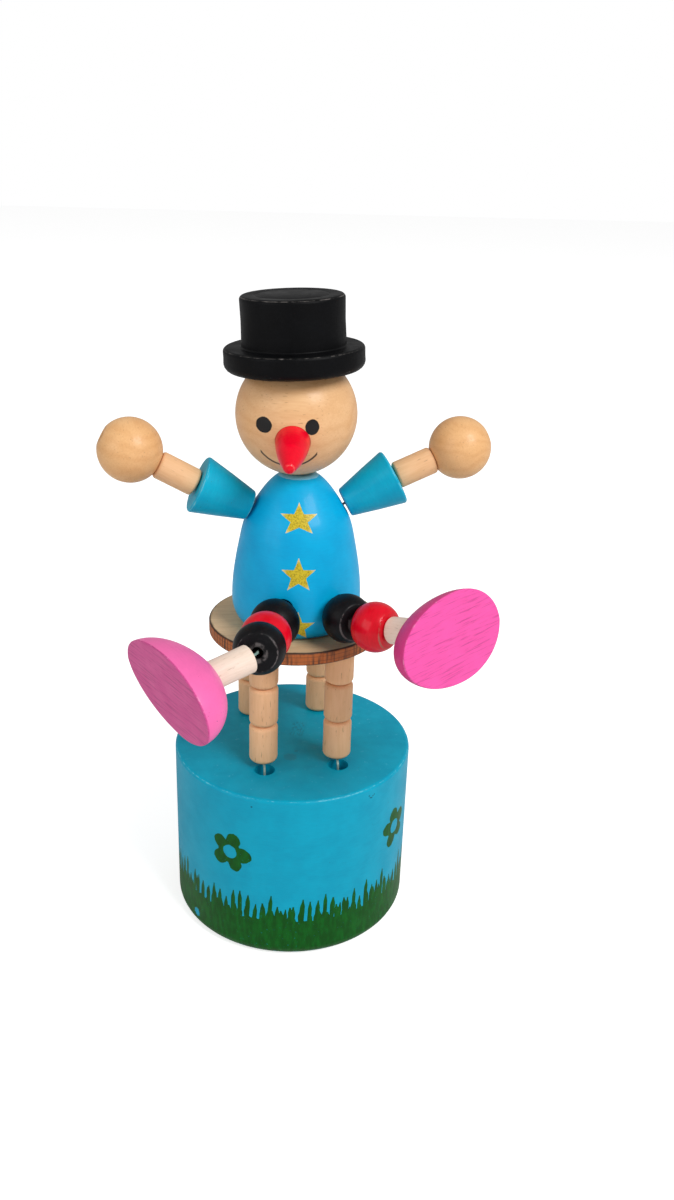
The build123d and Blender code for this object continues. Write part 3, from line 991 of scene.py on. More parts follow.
# ---- painted decoration
@dataclass(frozen=True)
class Meadow:
    """Green grass round the drum's foot, flowers above it, a scuffed top and a painted highlight round its
    edge.
    """

    radius: float = 25.0
    top: float = 38.0
    green: Colour = rgb(0.0, 0.068, 0.002)
    bright: Colour = rgb(0.0, 0.112, 0.006)
    blades: tuple[tuple[int, float, float], ...] = ((97, 12.0, 16.0), (83, 10.4, 13.6), (109, 9.6, 12.2))
    flowers: tuple[Triple, ...] = (
        (-38.2, 24.0, 0.0), (51.0, 24.2, 26.0), (141.0, 23.8, 9.0), (231.0, 24.1, 40.0)
    )
    petals: tuple[float, ...] = (142.0, 75.0, -3.0, -66.0, -140.0)
    petal_reach: float = 2.75
    petal_size: float = 1.52
    flower_eye: float = 1.55
    chip: Triple = (-61.0, 3.7, 1.0)
    hatch_spot: Pair = (1.6, 3.2)
    hatch_turn: float = 16.86
    grime: tuple[Triple, ...] = ((-1.8, -8.2, 1.5), (-0.2, -6.0, 0.45))
    ticks: tuple[Triple, ...] = (
        (-27.0, 36.0, 0.22), (29.4, 36.1, 0.19), (30.1, 35.6, 0.19), (30.9, 35.5, 0.19), (31.7, 35.8, 0.19),
        (32.5, 36.0, 0.19),
    )

    def grass(self, g: Graph, turn: Value, z: Value) -> Value:
        """Mask of the blades.

        Args:
            g: the material's graph.
            turn: angle round the drum, -0.5 to 0.5.
            z: height in millimetres.

        Returns:
            1 on grass.
        """
        mask = g.noise(g.joined(turn * 60.0, 0.0, 0.0), 1.0, 2.0) * -2.4 + z < 8.0
        for layer, (count, low, high) in enumerate(self.blades):
            lean = g.noise(g.joined(turn * count * 0.4, z * 0.05, layer * 7.0), 1.0, 1.0) * 0.7
            cell = turn * count + (z - low) * 0.03 * (1 if layer % 2 else -1) + lean
            number = cell.math("FLOOR")
            tall = g.chance(g.joined(number, layer * 3.1 + 0.5, 0.5)) * (high - low) + low
            middle = abs(cell - number - 0.5)
            rise = (tall - z) / (high - low)
            mask = mask | (middle < (rise.ramp(0.0, 0.5) * 0.2 + 0.09)) & (z < tall)
        return mask

    def flower(self, g: Graph, turn: Value, z: Value, spot: Triple) -> Value:
        """Mask of one five-petalled flower.

        Args:
            g: the material's graph.
            turn: angle round the drum, -0.5 to 0.5.
            z: height in millimetres.
            spot: azimuth, height and turn of the flower.

        Returns:
            1 on its petals.
        """
        azimuth, height, spin = spot
        around = turn * (2 * math.pi) - math.radians(azimuth)
        wrapped = around.math("SINE").math("ARCTAN2", around.math("COSINE"))
        across, up = wrapped * self.radius, z - height
        wobble = g.noise(g.joined(across * 0.6 + azimuth, up * 0.6, 0.0), 1.0, 2.0) * 0.7 - 0.35
        reach = across.hypot(up) + wobble * 0.6
        mask = (abs(reach - 2.15) < 0.62) & (z > 5.0)
        for i, angle in enumerate(self.petals):
            a = math.radians(angle + spin)
            dx, dy = across - self.petal_reach * math.cos(a), up - self.petal_reach * math.sin(a)
            far = dx * math.cos(a) + dy * math.sin(a)
            wide = dy * math.cos(a) - dx * math.sin(a)
            petal = (far * far * 0.72 + wide * wide).math("SQRT") + wobble
            mask = mask | (petal < self.petal_size + 0.12 * (i % 3))
        return mask * (reach > self.flower_eye)

    def paint(self, g: Graph, p: Value, coat: Value) -> Value:
        """Paints grass, flowers, marks and a painted highlight over the coat.

        Args:
            g: the material's graph.
            p: place on the drum, in millimetres.
            coat: colour of the bare coat.

        Returns:
            The painted colour.
        """
        x, y, z = g.parts(p)
        turn = x.math("ARCTAN2", y * -1.0) / (2 * math.pi)
        wall = x.hypot(y) > self.radius - 4.0
        patches = g.noise(g.joined(x * 0.9, y * 0.9, z * 0.3), 1.2, 3.0).ramp(0.35, 0.7)
        green = g.mix(patches, self.green, self.bright)
        printed = self.grass(g, turn, z)
        for spot in self.flowers:
            printed = printed | self.flower(g, turn, z, spot)
        rub = g.noise(g.joined(x * 1.2, y * 1.2, z * 1.2), 2.0, 4.0, 0.7).ramp(0.66, 0.72)
        chip = self.blot(g, (x, y, z), self.on_wall(*self.chip[:2]), self.chip[2])
        coat = g.mix(printed * wall * (z < self.top - 0.9) * (1.0 - rub * 0.6) * (1.0 - chip), coat, green)
        return self.marks(g, (x, y, z), coat)

    def on_wall(self, azimuth: float, height: float) -> Vector:
        """A point on the drum's wall, in millimetres."""
        return heading(azimuth, 0.0) * self.radius + UP * height

    def blot(self, g: Graph, at: tuple[Value, Value, Value], spot: Vector, size: float) -> Value:
        """Mask of a ragged blot.

        Args:
            g: the material's graph.
            at: the three parts of the place on the drum.
            spot: the blot's middle, in millimetres.
            size: its radius.

        Returns:
            1 on the blot.
        """
        x, y, z = (part - where for part, where in zip(at, spot))
        ragged = g.noise(g.joined(x * 2.0 + spot.x, y * 2.0, z * 2.0), 1.0, 3.0) * size * 1.4
        return ((x * x + y * y + z * z).math("SQRT") + ragged).ramp(size * 1.75, size * 1.45)

    def marks(self, g: Graph, at: tuple[Value, Value, Value], coat: Value) -> Value:
        """Paints the scuffs and dark marks of years of play, and a painted highlight along the top's rounded
        edge.

        Args:
            g: the material's graph.
            at: the three parts of the place on the drum.
            coat: colour so far.

        Returns:
            The marked colour.
        """
        x, y, z = at
        on_top = z > self.top - 0.3
        dx, dy = (part - middle for part, middle in zip((x, y), self.hatch_spot))
        lean, straight = math.sin(math.radians(self.hatch_turn)), math.cos(math.radians(self.hatch_turn))
        along = dx * lean + dy * straight
        across = dx * straight - dy * lean
        hatch = g.noise(g.joined(across * 1.5, along * 0.7, 0.0), 1.4, 4.0, 0.7).ramp(0.47, 0.56)
        inside = (abs(along) + hatch).ramp(4.4, 3.4) * (abs(across) + hatch * 0.6).ramp(2.4, 1.6)
        coat = g.mix(inside * hatch * on_top * 0.6, coat, rgb(0.0, 0.17, 0.27))
        grime = [self.blot(g, at, Vector((left, back, self.top)), size) for left, back, size in self.grime]
        coat = g.mix((grime[0] | grime[1]) * 0.3, coat, rgb(0.03, 0.13, 0.17))
        ticks = [self.blot(g, at, self.on_wall(azimuth, level), size) for azimuth, level, size in self.ticks]
        coat = g.mix(reduce(or_, ticks) * 0.8, coat, rgb(0.0, 0.05, 0.08))
        # Painted highlight: a broken, lighter blue line round the top's rounded edge.
        edge = g.noise(g.joined(x * 0.7, y * 0.7, z * 2.0), 1.0, 4.0, 0.7).ramp(0.6, 0.72)
        rim = abs(z - self.top + 0.25) < 0.35
        return g.mix(rim * edge * 0.45, coat, rgb(0.10, 0.55, 0.72))


@dataclass(frozen=True)
class Stars:
    """A row of gold stars down the front, and a rubbed neck."""

    azimuth: float = -7.0
    heights: tuple[float, ...] = (24.1, 14.0, 3.6)
    stretch: tuple[float, ...] = (0.85, 1.0, 1.0)
    size: float = 3.4
    notch: float = 0.42
    girth: tuple[float, ...] = (7.75, 11.7, 12.75)
    gold: Colour = rgb(0.66, 0.53, 0.03)
    brown: Colour = rgb(0.40, 0.31, 0.02)
    pale: Colour = rgb(0.80, 0.70, 0.38)
    neck: float = 30.6

    def paint(self, g: Graph, p: Value, coat: Value) -> Value:
        """Paints the stars and the rubbed neck over the coat.

        Args:
            g: the material's graph.
            p: place on the torso, in millimetres.
            coat: colour of the bare coat.

        Returns:
            The painted colour.
        """
        x, y, z = g.parts(p)
        around = x.math("ARCTAN2", y * -1.0) - math.radians(self.azimuth)
        speckle = g.noise(p, 3.4, 3.0, 0.7)
        gold = g.mix(speckle.ramp(0.42, 0.62), self.gold, self.brown)
        front = abs(around) < 0.7
        tip, notch, fifth = self.size, self.size * self.notch, 2 * math.pi / 5
        side = math.atan2(notch * math.sin(fifth / 2), tip - notch * math.cos(fifth / 2))
        for level, girth, stretch in zip(self.heights, self.girth, self.stretch):
            across, up = around * girth, (z - level) / stretch
            angle = across.math("ARCTAN2", up)
            angle_in = abs((angle / fifth + 10.5).math("FRACT") - 0.5) * fifth
            reach = across.hypot(up)
            edge = reach * (angle_in.math("COSINE") * math.sin(side) + angle_in.math("SINE") * math.cos(side))
            ragged = g.noise(g.joined(across, up, level), 1.6, 2.0) * 0.16 - 0.08
            star = ((edge + ragged) < tip * math.sin(side)) * front
            tips = g.mix(reach.ramp(tip * 0.62, tip) * 0.8, gold, self.pale)
            coat = g.mix(star, coat, tips)
        ring = (z + g.noise(p, 0.8, 3.0) * 0.25).ramp(self.neck, self.neck + 0.1)
        return g.mix(ring * 0.75, coat, rgb(0.30, 0.62, 0.78))


@dataclass(frozen=True)
class Face:
    """Two dot eyes and a thin smile, on the ball's front."""

    eyes: tuple[tuple[float, float, float, float], ...] = ((-5.15, 0.13, 1.53, 1.5), (3.59, 0.2, 1.27, 1.45))
    smile: Triple = (-0.75, -1.35, 6.4)
    ends: Pair = (-5.9, 4.53)
    ink: Colour = rgb(0.006, 0.005, 0.005)

    def paint(self, g: Graph, p: Value, wood: Value) -> Value:
        """Paints the face.

        Args:
            g: the material's graph.
            p: place in millimetres: X to the viewer's right, Y up and Z out of the face.
            wood: colour of the bare wood.

        Returns:
            The painted colour.
        """
        x, y, z = g.parts(p)
        wobble = g.noise(g.joined(x, y, z), 1.4, 2.0) * 0.16 - 0.08
        across, up, bow = self.smile
        line = abs((x - across).hypot(y - up) - bow + wobble * 0.6)
        inside = (x > self.ends[0]) & (x < self.ends[1]) & (y < up - 2.6)
        ink = line.ramp(0.24, 0.12) * inside * 0.9
        for across, up, wide, tall in self.eyes:
            dot = ((x - across) / wide).hypot((y - up) / tall) + wobble
            ink = ink | dot.ramp(1.02, 0.94)
        return g.mix(ink * (z > 2.0), wood, self.ink)


def ring_at(height: float, radius: float, width: float, ragged: float = 0.3) -> Wear:
    """Wear where an edge runs round a turned piece.

    Args:
        height: of the edge along the axis.
        radius: of the edge.
        width: of the worn band.
        ragged: how much it wanders.

    Returns:
        A function that gives the mask.
    """

    def mask(g: Graph, p: Value) -> Value:
        """Mask of the worn edge.

        Args:
            g: the material's graph.
            p: place on the piece, in millimetres.

        Returns:
            1 where it is worn.
        """
        x, y, z = g.parts(p)
        away = (x.hypot(y) - radius).hypot(z - height)
        wander = g.noise(p, 0.7, 4.0, 0.7) * ragged
        broken = g.noise(g.joined(x * 0.4, y * 0.4, z), 1.0, 4.0, 0.7).ramp(0.42, 0.56)
        return (away + wander).ramp(width + ragged * 0.5, width * 0.4 + ragged * 0.5) * broken

    return mask


def joined_wear(*masks: Wear) -> Wear:
    """Several worn places in one."""
    return lambda g, p: reduce(or_, [mask(g, p) for mask in masks])


# ---- drum, button and spring
@dataclass
class Drum:
    """Hollow drum with four string holes, painted with a meadow; millimetres."""

    shop: Workshop
    bore: float = 18.5
    top_wall: float = 6.0
    top_round: float = 0.8
    foot_round: float = 2.6
    hole: float = 4.2

    def build(self) -> Thing:
        """Turns, drills and paints the drum.

        Returns:
            The drum.
        """
        place = place_of("drum_base", UP)
        radius, height, chamber = place.radius, place.length, place.length - self.top_wall * MM
        bore, bevel = self.bore * MM, 0.6 * MM
        outline = rounded([
            (0, chamber, 0), (bore, chamber, 0.5 * MM), (bore, bevel, 0), (bore + bevel, 0, 0),
            (radius, 0, self.foot_round * MM), (radius, height * 0.5, 0),
            (radius, height, self.top_round * MM), (radius * 0.93, height, 0), (radius * 0.5, height, 0),
            (0, height, 0),
        ], 9)
        meadow = Meadow(radius / MM, height / MM)
        coat = Paint(
            rgb(0.0, 0.38, 0.56), rgb(0.0, 0.31, 0.48), rgb(0.10, 0.50, 0.62), roughness=0.4, gloss=0.08,
            sheen=0.14, fibre=0.02, specks=0.35, seed=4.0,
        )
        wear = joined_wear(
            ring_at(meadow.top - 0.3, meadow.radius - 0.3, 0.14, 0.5),
            ring_at(1.0, meadow.radius - 0.7, 0.2, 0.8),
        )
        paint = coat.dress("drum_coat", place, meadow.paint, wear)
        drum = self.shop.turned("drum_wood", outline, place, paint, 192)
        holes = [
            (spot + UP * (chamber - MM), spot + UP * (height + MM), self.hole * MM)
            for spot in hole_spots(HOLE_X, (-HOLE_Y, HOLE_Y))
        ]
        self.shop.drill(drum, holes)
        return self.shop.hand_over(drum, "drum", "drum_paint", "drum_base")


@dataclass
class Button:
    """Disc under the drum, with a knot recess below each string; millimetres."""

    shop: Workshop
    edge_round: float = 1.0
    string_bore: float = 1.8
    recess: float = 3.4
    recess_depth: float = 2.2

    def build(self) -> Thing:
        """Turns and drills the button.

        Returns:
            The button.
        """
        place = place_of("push_button", UP)
        radius, height, soft = place.radius, place.length, self.edge_round * MM
        outline = rounded([(0, 0, 0), (radius, 0, soft), (radius, height, soft), (0, height, 0)])
        timber = Timber(rgb(0.66, 0.47, 0.29), rgb(0.50, 0.31, 0.16), grain=Grain.ACROSS, ring=2.2, seed=3.0)
        disc = self.shop.turned("button_disc", outline, place, timber.dress("button_timber", place), 128)
        holes = []
        for spot in hole_spots(HOLE_X, (-HOLE_Y, HOLE_Y)):
            foot = spot + UP * place.origin.z
            holes.append((foot - UP * MM, foot + UP * self.recess_depth * MM, self.recess * MM))
            holes.append((foot, foot + UP * (height + MM), self.string_bore * MM))
        self.shop.drill(disc, holes)
        return self.shop.hand_over(disc, "button", "button_wood", "push_button")


@dataclass
class ReturnSpring:
    """Compression spring between the button and the chamber's ceiling; millimetres."""

    shop: Workshop
    turns: float = 6.0
    wire: float = 1.2
    travel: float = 8.0

    def build(self) -> Thing:
        """Winds the spring.

        Returns:
            The spring.
        """
        place = place_of("return_spring", UP)
        wire = self.wire * MM / 2
        bottom, top = place.origin.z, place.end().z
        spring = self.shop.line("spring_coil", [(0, 0, 0), (0, 0, MM)])
        steel = Steel().dress("spring_wire", Place(Vector((0, 0, bottom)), UP))
        values = {
            "Turns": self.turns,
            "Radius": place.radius - wire,
            "Low": bottom + wire,
            "High": top - wire,
            "Wire": wire,
            "Material": steel,
        }
        self.shop.grow(spring, self.shop.coil, values)
        self.shop.tidy(spring, 60)
        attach(spring, "drum")
        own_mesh(spring)
        return self.shop.declare(spring, "spring_steel", "return_spring")


# ---- stool
@dataclass
class Stool:
    """Plywood seat on four legs of three threaded dowels each; millimetres."""

    shop: Workshop
    rounding: float = 1.0
    bore: float = 1.9
    seat_round: float = 0.35
    notch_azimuth: float = 8.8
    notch: float = 0.7
    legs: tuple[str, ...] = ("front_left", "front_right", "rear_left", "rear_right")
    levels: tuple[str, ...] = ("low", "mid", "top")

    def dowel(self, leg: str, level: str, number: int) -> Thing:
        """Turns one dowel.

        Args:
            leg: which leg.
            level: low, mid or top.
            number: seed of its grain.

        Returns:
            The dowel.
        """
        name = f"stool_{leg}_{level}"
        place = place_of(name, UP)
        radius, length, soft, bore = place.radius, place.length, self.rounding * MM, self.bore * MM / 2
        waist = radius * (0.985 + 0.01 * (number % 3))
        outer = rounded([
            (bore, 0, 0), (radius, 0, soft), (waist, length / 2, 0), (radius, length, soft * 0.9),
            (bore, length, 0),
        ])
        tint = 1.0 - 0.035 * (number * 7 % 5)
        timber = Timber(
            rgb(0.94 * tint, 0.56 * tint, 0.31 * tint), rgb(0.82 * tint, 0.45 * tint, 0.22 * tint), ring=1.9,
            ring_share=0.2, roughness=0.5, seed=number * 3.7,
        )
        wood = timber.dress(f"{name}_timber", place)
        piece = self.shop.turned(f"{name}_dowel", bored(outer, bore), place, wood, 48)
        return self.shop.hand_over(piece, name, "stool_wood", name)

    def seat(self) -> Thing:
        """Cuts the seat, with its string holes and the nick where the cut began.

        Returns:
            The seat.
        """
        place = place_of("stool_seat", UP)
        radius, thick, soft = place.radius, place.length, self.seat_round * MM
        outline = rounded([(0, 0, 0), (radius, 0, soft), (radius, thick, soft), (0, thick, 0)], 5)
        seat = self.shop.turned("seat_board", outline, place, Ply().dress("seat_ply", place), 160)
        below, above = UP * (place.origin.z - MM), UP * (place.end().z + MM)
        spots = hole_spots(HOLE_X, (FRONT_LEG_Y, HOLE_Y))
        holes = [(spot + below, spot + above, self.bore * MM) for spot in spots]
        nick = heading(self.notch_azimuth, 0) * (radius + 0.15 * MM)
        holes.append((nick + below, nick + above, self.notch * MM))
        self.shop.drill(seat, holes)
        return self.shop.hand_over(seat, "seat", "plywood", "stool_seat")

    def build(self) -> list[Thing]:
        """Makes the seat and the twelve dowels.

        Returns:
            The pieces.
        """
        pieces = [self.seat()]
        for i, leg in enumerate(self.legs):
            for j, level in enumerate(self.levels):
                pieces.append(self.dowel(leg, level, 3 * i + j))
        return pieces


# ---- torso
def smooth_through(points: Sequence[Pair], first: Vector, last: Vector, steps: int) -> Outline:
    """Curve through points with a given direction at both ends.

    Args:
        points: radius and height of each.
        first: direction at the first point.
        last: direction at the last point.
        steps: points on each span.

    Returns:
        The curve's points.
    """
    knots = [Vector(point) for point in points]
    ways = [first.normalized()]
    ways += [(after - before).normalized() for before, after in zip(knots, knots[2:])]
    ways.append(last.normalized())
    outline: Outline = []
    for start, end, way_in, way_out in zip(knots, knots[1:], ways, ways[1:]):
        reach = (end - start).length
        for i in range(steps):
            t = i / steps
            a, b = 2 * t**3 - 3 * t**2 + 1, t**3 - 2 * t**2 + t
            c, d = -2 * t**3 + 3 * t**2, t**3 - t**2
            outline.append(tuple(start * a + way_in * (reach * b) + end * c + way_out * (reach * d)))
    outline.append(tuple(knots[-1]))
    return outline


@dataclass
class Torso:
    """Bullet-shaped shirt with its bore, neck, shoulder and hip holes; millimetres."""

    shop: Workshop
    foot: float = 9.4
    belly_height: float = 5.5
    chest: Pair = (11.05, 19.0)
    shoulder: Pair = (9.0, 24.2)
    neck: float = 3.2
    neck_slope: float = 27.0
    bore: float = 12.8
    bore_depth: float = 24.0
    neck_hole: float = 3.0
    shoulder_hole: float = 2.6
    shoulder_depth: float = 4.7
    hip_hole: float = 4.2
    hip_height: float = 7.4
    hip_azimuths: Pair = (-20.0, 31.0)
    drilling: float = 2.6
    drillings: tuple[tuple[float, float, float, float, float], ...] = (
        (7.6, -9.2, 1.8, -3.85, 8.2), (7.6, 13.4, 3.0, 4.27, 13.07)
    )
    arm_ways: tuple[Pair, ...] = ((-90.0, 24.5), (90.0, 28.0))

    def build(self) -> Thing:
        """Turns, drills and paints the torso.

        Returns:
            The torso.
        """
        place = place_of("torso", UP)
        belly, height = place.radius / MM, place.length / MM
        curve = arc((0.0, 0.0), 1.0, -90, 0, 12)
        bulge = [(self.foot + (belly - self.foot) * x, self.belly_height * (1 + y)) for x, y in curve]
        slope = math.radians(self.neck_slope)
        side = smooth_through(
            [(belly, self.belly_height), self.chest, self.shoulder, (self.neck, height)],
            Vector((0, 1)), Vector((-math.cos(slope), math.sin(slope))), 14,
        )
        outline = in_metres([(0.0, 0.0), *bulge[:-1], *side, (0.0, height)])
        coat = Paint(
            rgb(0.0, 0.44, 0.78), rgb(0.0, 0.36, 0.69), roughness=0.38, gloss=0.1, sheen=0.16, fibre=0.02,
            seed=11.0,
        )
        stars = Stars(neck=height - 0.35)
        wear = ring_at(0.6, self.foot + 0.9, 0.25, 0.5)
        paint = coat.dress("torso_coat", place, stars.paint, wear)
        torso = self.shop.turned("torso_wood", outline, place, paint, 144)
        self.shop.drill(torso, self.holes(place, belly))
        return self.shop.hand_over(torso, "torso", "shirt_paint", "torso")

    def holes(self, place: Place, belly: float) -> list[tuple[Vector, Vector, float]]:
        """Every hole in the torso.

        Args:
            place: where the torso stands.
            belly: its largest radius in millimetres.

        Returns:
            Start, end and diameter of each, in metres.
        """
        foot = place.origin
        holes = [
            (foot - UP * MM, foot + UP * self.bore_depth * MM, self.bore * MM),
            (foot, foot + UP * (place.length + MM), self.neck_hole * MM),
        ]
        hip = foot + UP * self.hip_height * MM
        for azimuth in self.hip_azimuths:
            holes.append((hip, hip + heading(azimuth, 0) * (belly + 2) * MM, self.hip_hole * MM))
        for x, y, inner_x, inner_y, level in self.drillings:
            for sign in SIDES.values():
                start, stop = Vector((sign * x, y, 0)), Vector((sign * inner_x, inner_y, level))
                holes.append((foot + start * MM, foot + stop * MM, self.drilling * MM))
        for azimuth, elevation in self.arm_ways:
            way = heading(azimuth, elevation)
            mouth = foot + UP * self.shoulder[1] * MM + heading(azimuth, 0) * self.shoulder[0] * MM
            inner, outer = mouth - way * self.shoulder_depth * MM, mouth + way * 3 * MM
            holes.append((inner, outer, self.shoulder_hole * MM))
        return holes


# ---- head, nose and hat
@dataclass
class Head:
    """Lacquered ball with a painted face, a red nose and a top hat; millimetres."""

    shop: Workshop
    radius: float = 11.5
    neck_flat: float = 2.4
    crown_height: float = 8.4
    tilt: float = 3.0
    face_azimuth: float = -12.5
    nose_radii: Triple = (3.2, 2.5, 1.2)
    nose_seat: float = 0.5
    nose_droop: float = 14.0
    tip_slope: float = 17.7
    peg: Pair = (1.3, 3.0)
    fit: float = 0.1
    string_bore: float = 1.9
    brim: tuple[float, float, float, float] = (13.2, 4.3, 0.7, 1.5)
    crown: Triple = (9.65, 9.1, 0.7)
    knot_recess: Pair = (6.0, 3.0)

    def up(self) -> Vector:
        """The head's own up."""
        return Vector((-math.sin(math.radians(self.tilt)), 0, math.cos(math.radians(self.tilt))))

    def forward(self) -> Vector:
        """Where the face looks."""
        level = heading(self.face_azimuth, 0)
        return (level - self.up() * level.dot(self.up())).normalized()

    def nose_way(self) -> Vector:
        """Where the nose points, below where the face looks."""
        across = self.up().cross(self.forward())
        return (Matrix.Rotation(math.radians(self.nose_droop), 3, across) @ self.forward()).normalized()

    def hat_place(self) -> Place:
        """Where the hat stands."""
        return place_of("top_hat", self.up())

    def middle(self) -> Vector:
        """The ball's middle, under the hat."""
        return self.hat_place().origin - self.up() * self.crown_height * MM

    def ball(self) -> Thing:
        """Turns the head, drills it and paints the face.

        Returns:
            The head.
        """
        foot = math.sqrt(self.radius**2 - self.neck_flat**2)
        curve = ball_side(0, self.radius, foot, self.crown_height, 64)
        outline = in_metres([(0, -foot), *curve, (0, self.crown_height)])
        middle, forward = self.middle(), self.nose_way()
        face = Place(middle, self.forward())
        timber = Timber(
            rgb(0.86, 0.53, 0.27), rgb(0.74, 0.40, 0.18), rgb(0.46, 0.22, 0.09), Grain.ACROSS, ring=2.4,
            ring_share=0.3, roughness=0.42, lacquer=0.15, seed=9.0,
        )
        wood = timber.dress("head_timber", face, Face().paint)
        head = self.shop.turned("head_ball", outline, Place(middle, self.up()), wood, 144)
        seat, pole = middle + forward * (self.nose_depth() * MM), self.up() * self.radius * MM
        holes = [
            (seat, seat + forward * 9 * MM, (2 * self.nose_radii[0] + self.fit) * MM),
            (seat, seat - forward * (self.peg[1] + self.fit / 2) * MM, (2 * self.peg[0] + self.fit) * MM),
            (middle - pole, middle + pole, self.string_bore * MM),
        ]
        self.shop.drill(head, holes, 35)
        return self.shop.hand_over(head, "head", "lacquered_wood", "head")

    def nose_depth(self) -> float:
        """How far out of the ball's middle the nose's seat lies."""
        return math.sqrt(self.radius**2 - self.nose_radii[0] ** 2) - self.nose_seat

    def nose(self) -> Thing:
        """Turns the nose with its peg.

        Returns:
            The nose.
        """
        forward = self.nose_way()
        place = place_of("nose", forward)
        base, middle, tip = self.nose_radii
        length = place.length / MM - self.peg[1]
        cap = arc((0, length - tip), tip, self.tip_slope, 90, 10)
        lean = Vector((-math.sin(math.radians(self.tip_slope)), math.cos(math.radians(self.tip_slope))))
        side = smooth_through([(base, 0.0), (middle, length / 2), cap[0]], Vector((0.0, 1)), lean, 10)
        peg, depth = self.peg
        outline = in_metres([(0, -depth), (peg, -depth), (peg, 0.0), *side, *cap[1:]])
        seat = Place(place.origin + forward * self.peg[1] * MM, forward)
        coat = Paint(
            rgb(0.95, 0.0, 0.022), rgb(0.74, 0.0, 0.014), rgb(0.95, 0.22, 0.18), roughness=0.3, gloss=0.25,
            sheen=0.15, fibre=0.02, streak=0.2, seed=2.0,
        )
        wear = ring_at(length - 0.6, 0.7, 0.35, 0.5)
        nose = self.shop.turned("nose_carrot", outline, seat, coat.dress("nose_coat", seat, None, wear), 64)
        return self.shop.hand_over(nose, "head", "nose_paint", "nose")

    def hat(self) -> Thing:
        """Turns the hat, with a fine groove round its top, and rims that are partly rubbed and partly painted
        highlight.

        Returns:
            The hat.
        """
        place = self.hat_place()
        brim, thick, top_round, low_round = self.brim
        crown, tall, crown_round = self.crown
        recess, depth = self.knot_recess[0] / 2, self.knot_recess[1]
        full = thick + tall
        outline = rounded([
            (0, depth, 0), (recess, depth, 0), (recess, 0, 0.15), (brim, 0, low_round),
            (brim - 0.12, thick * 0.55, 0), (brim - 0.1, thick, top_round), (crown + 0.05, thick, 0.3),
            (crown - 0.08, thick + tall * 0.5, 0), (crown, full, crown_round), (crown * 0.72, full - 0.02, 0),
            (crown * 0.70, full - 0.10, 0), (crown * 0.68, full - 0.02, 0), (0, full, 0),
        ])
        # The third colour marks the rims: partly rubbed paint, partly painted highlight.
        coat = Paint(
            rgb(0.0025, 0.0027, 0.0035), rgb(0.0012, 0.0012, 0.0015), rgb(0.11, 0.10, 0.095), roughness=0.42,
            gloss=0.0, sheen=0.1, dust=0.05, dust_colour=rgb(0.05, 0.05, 0.055), streak=0.4, seed=6.0,
        )
        # Lighter lines round the brim and crown edges: partly rubbed paint, partly painted highlight.
        wear = joined_wear(
            ring_at(thick - 0.12, brim - 0.25, 0.16, 0.35),
            ring_at(full - 0.15, crown - 0.2, 0.14, 0.3),
            ring_at(0.9, brim - 0.35, 0.12, 0.4),
        )
        paint = coat.dress("hat_coat", place, None, wear)
        hat = self.shop.turned("hat_wood", in_metres(outline), place, paint, 144)
        return self.shop.hand_over(hat, "head", "hat_paint", "top_hat")

    def build(self) -> list[Thing]:
        """Makes head, nose and hat."""
        return [self.ball(), self.nose(), self.hat()]


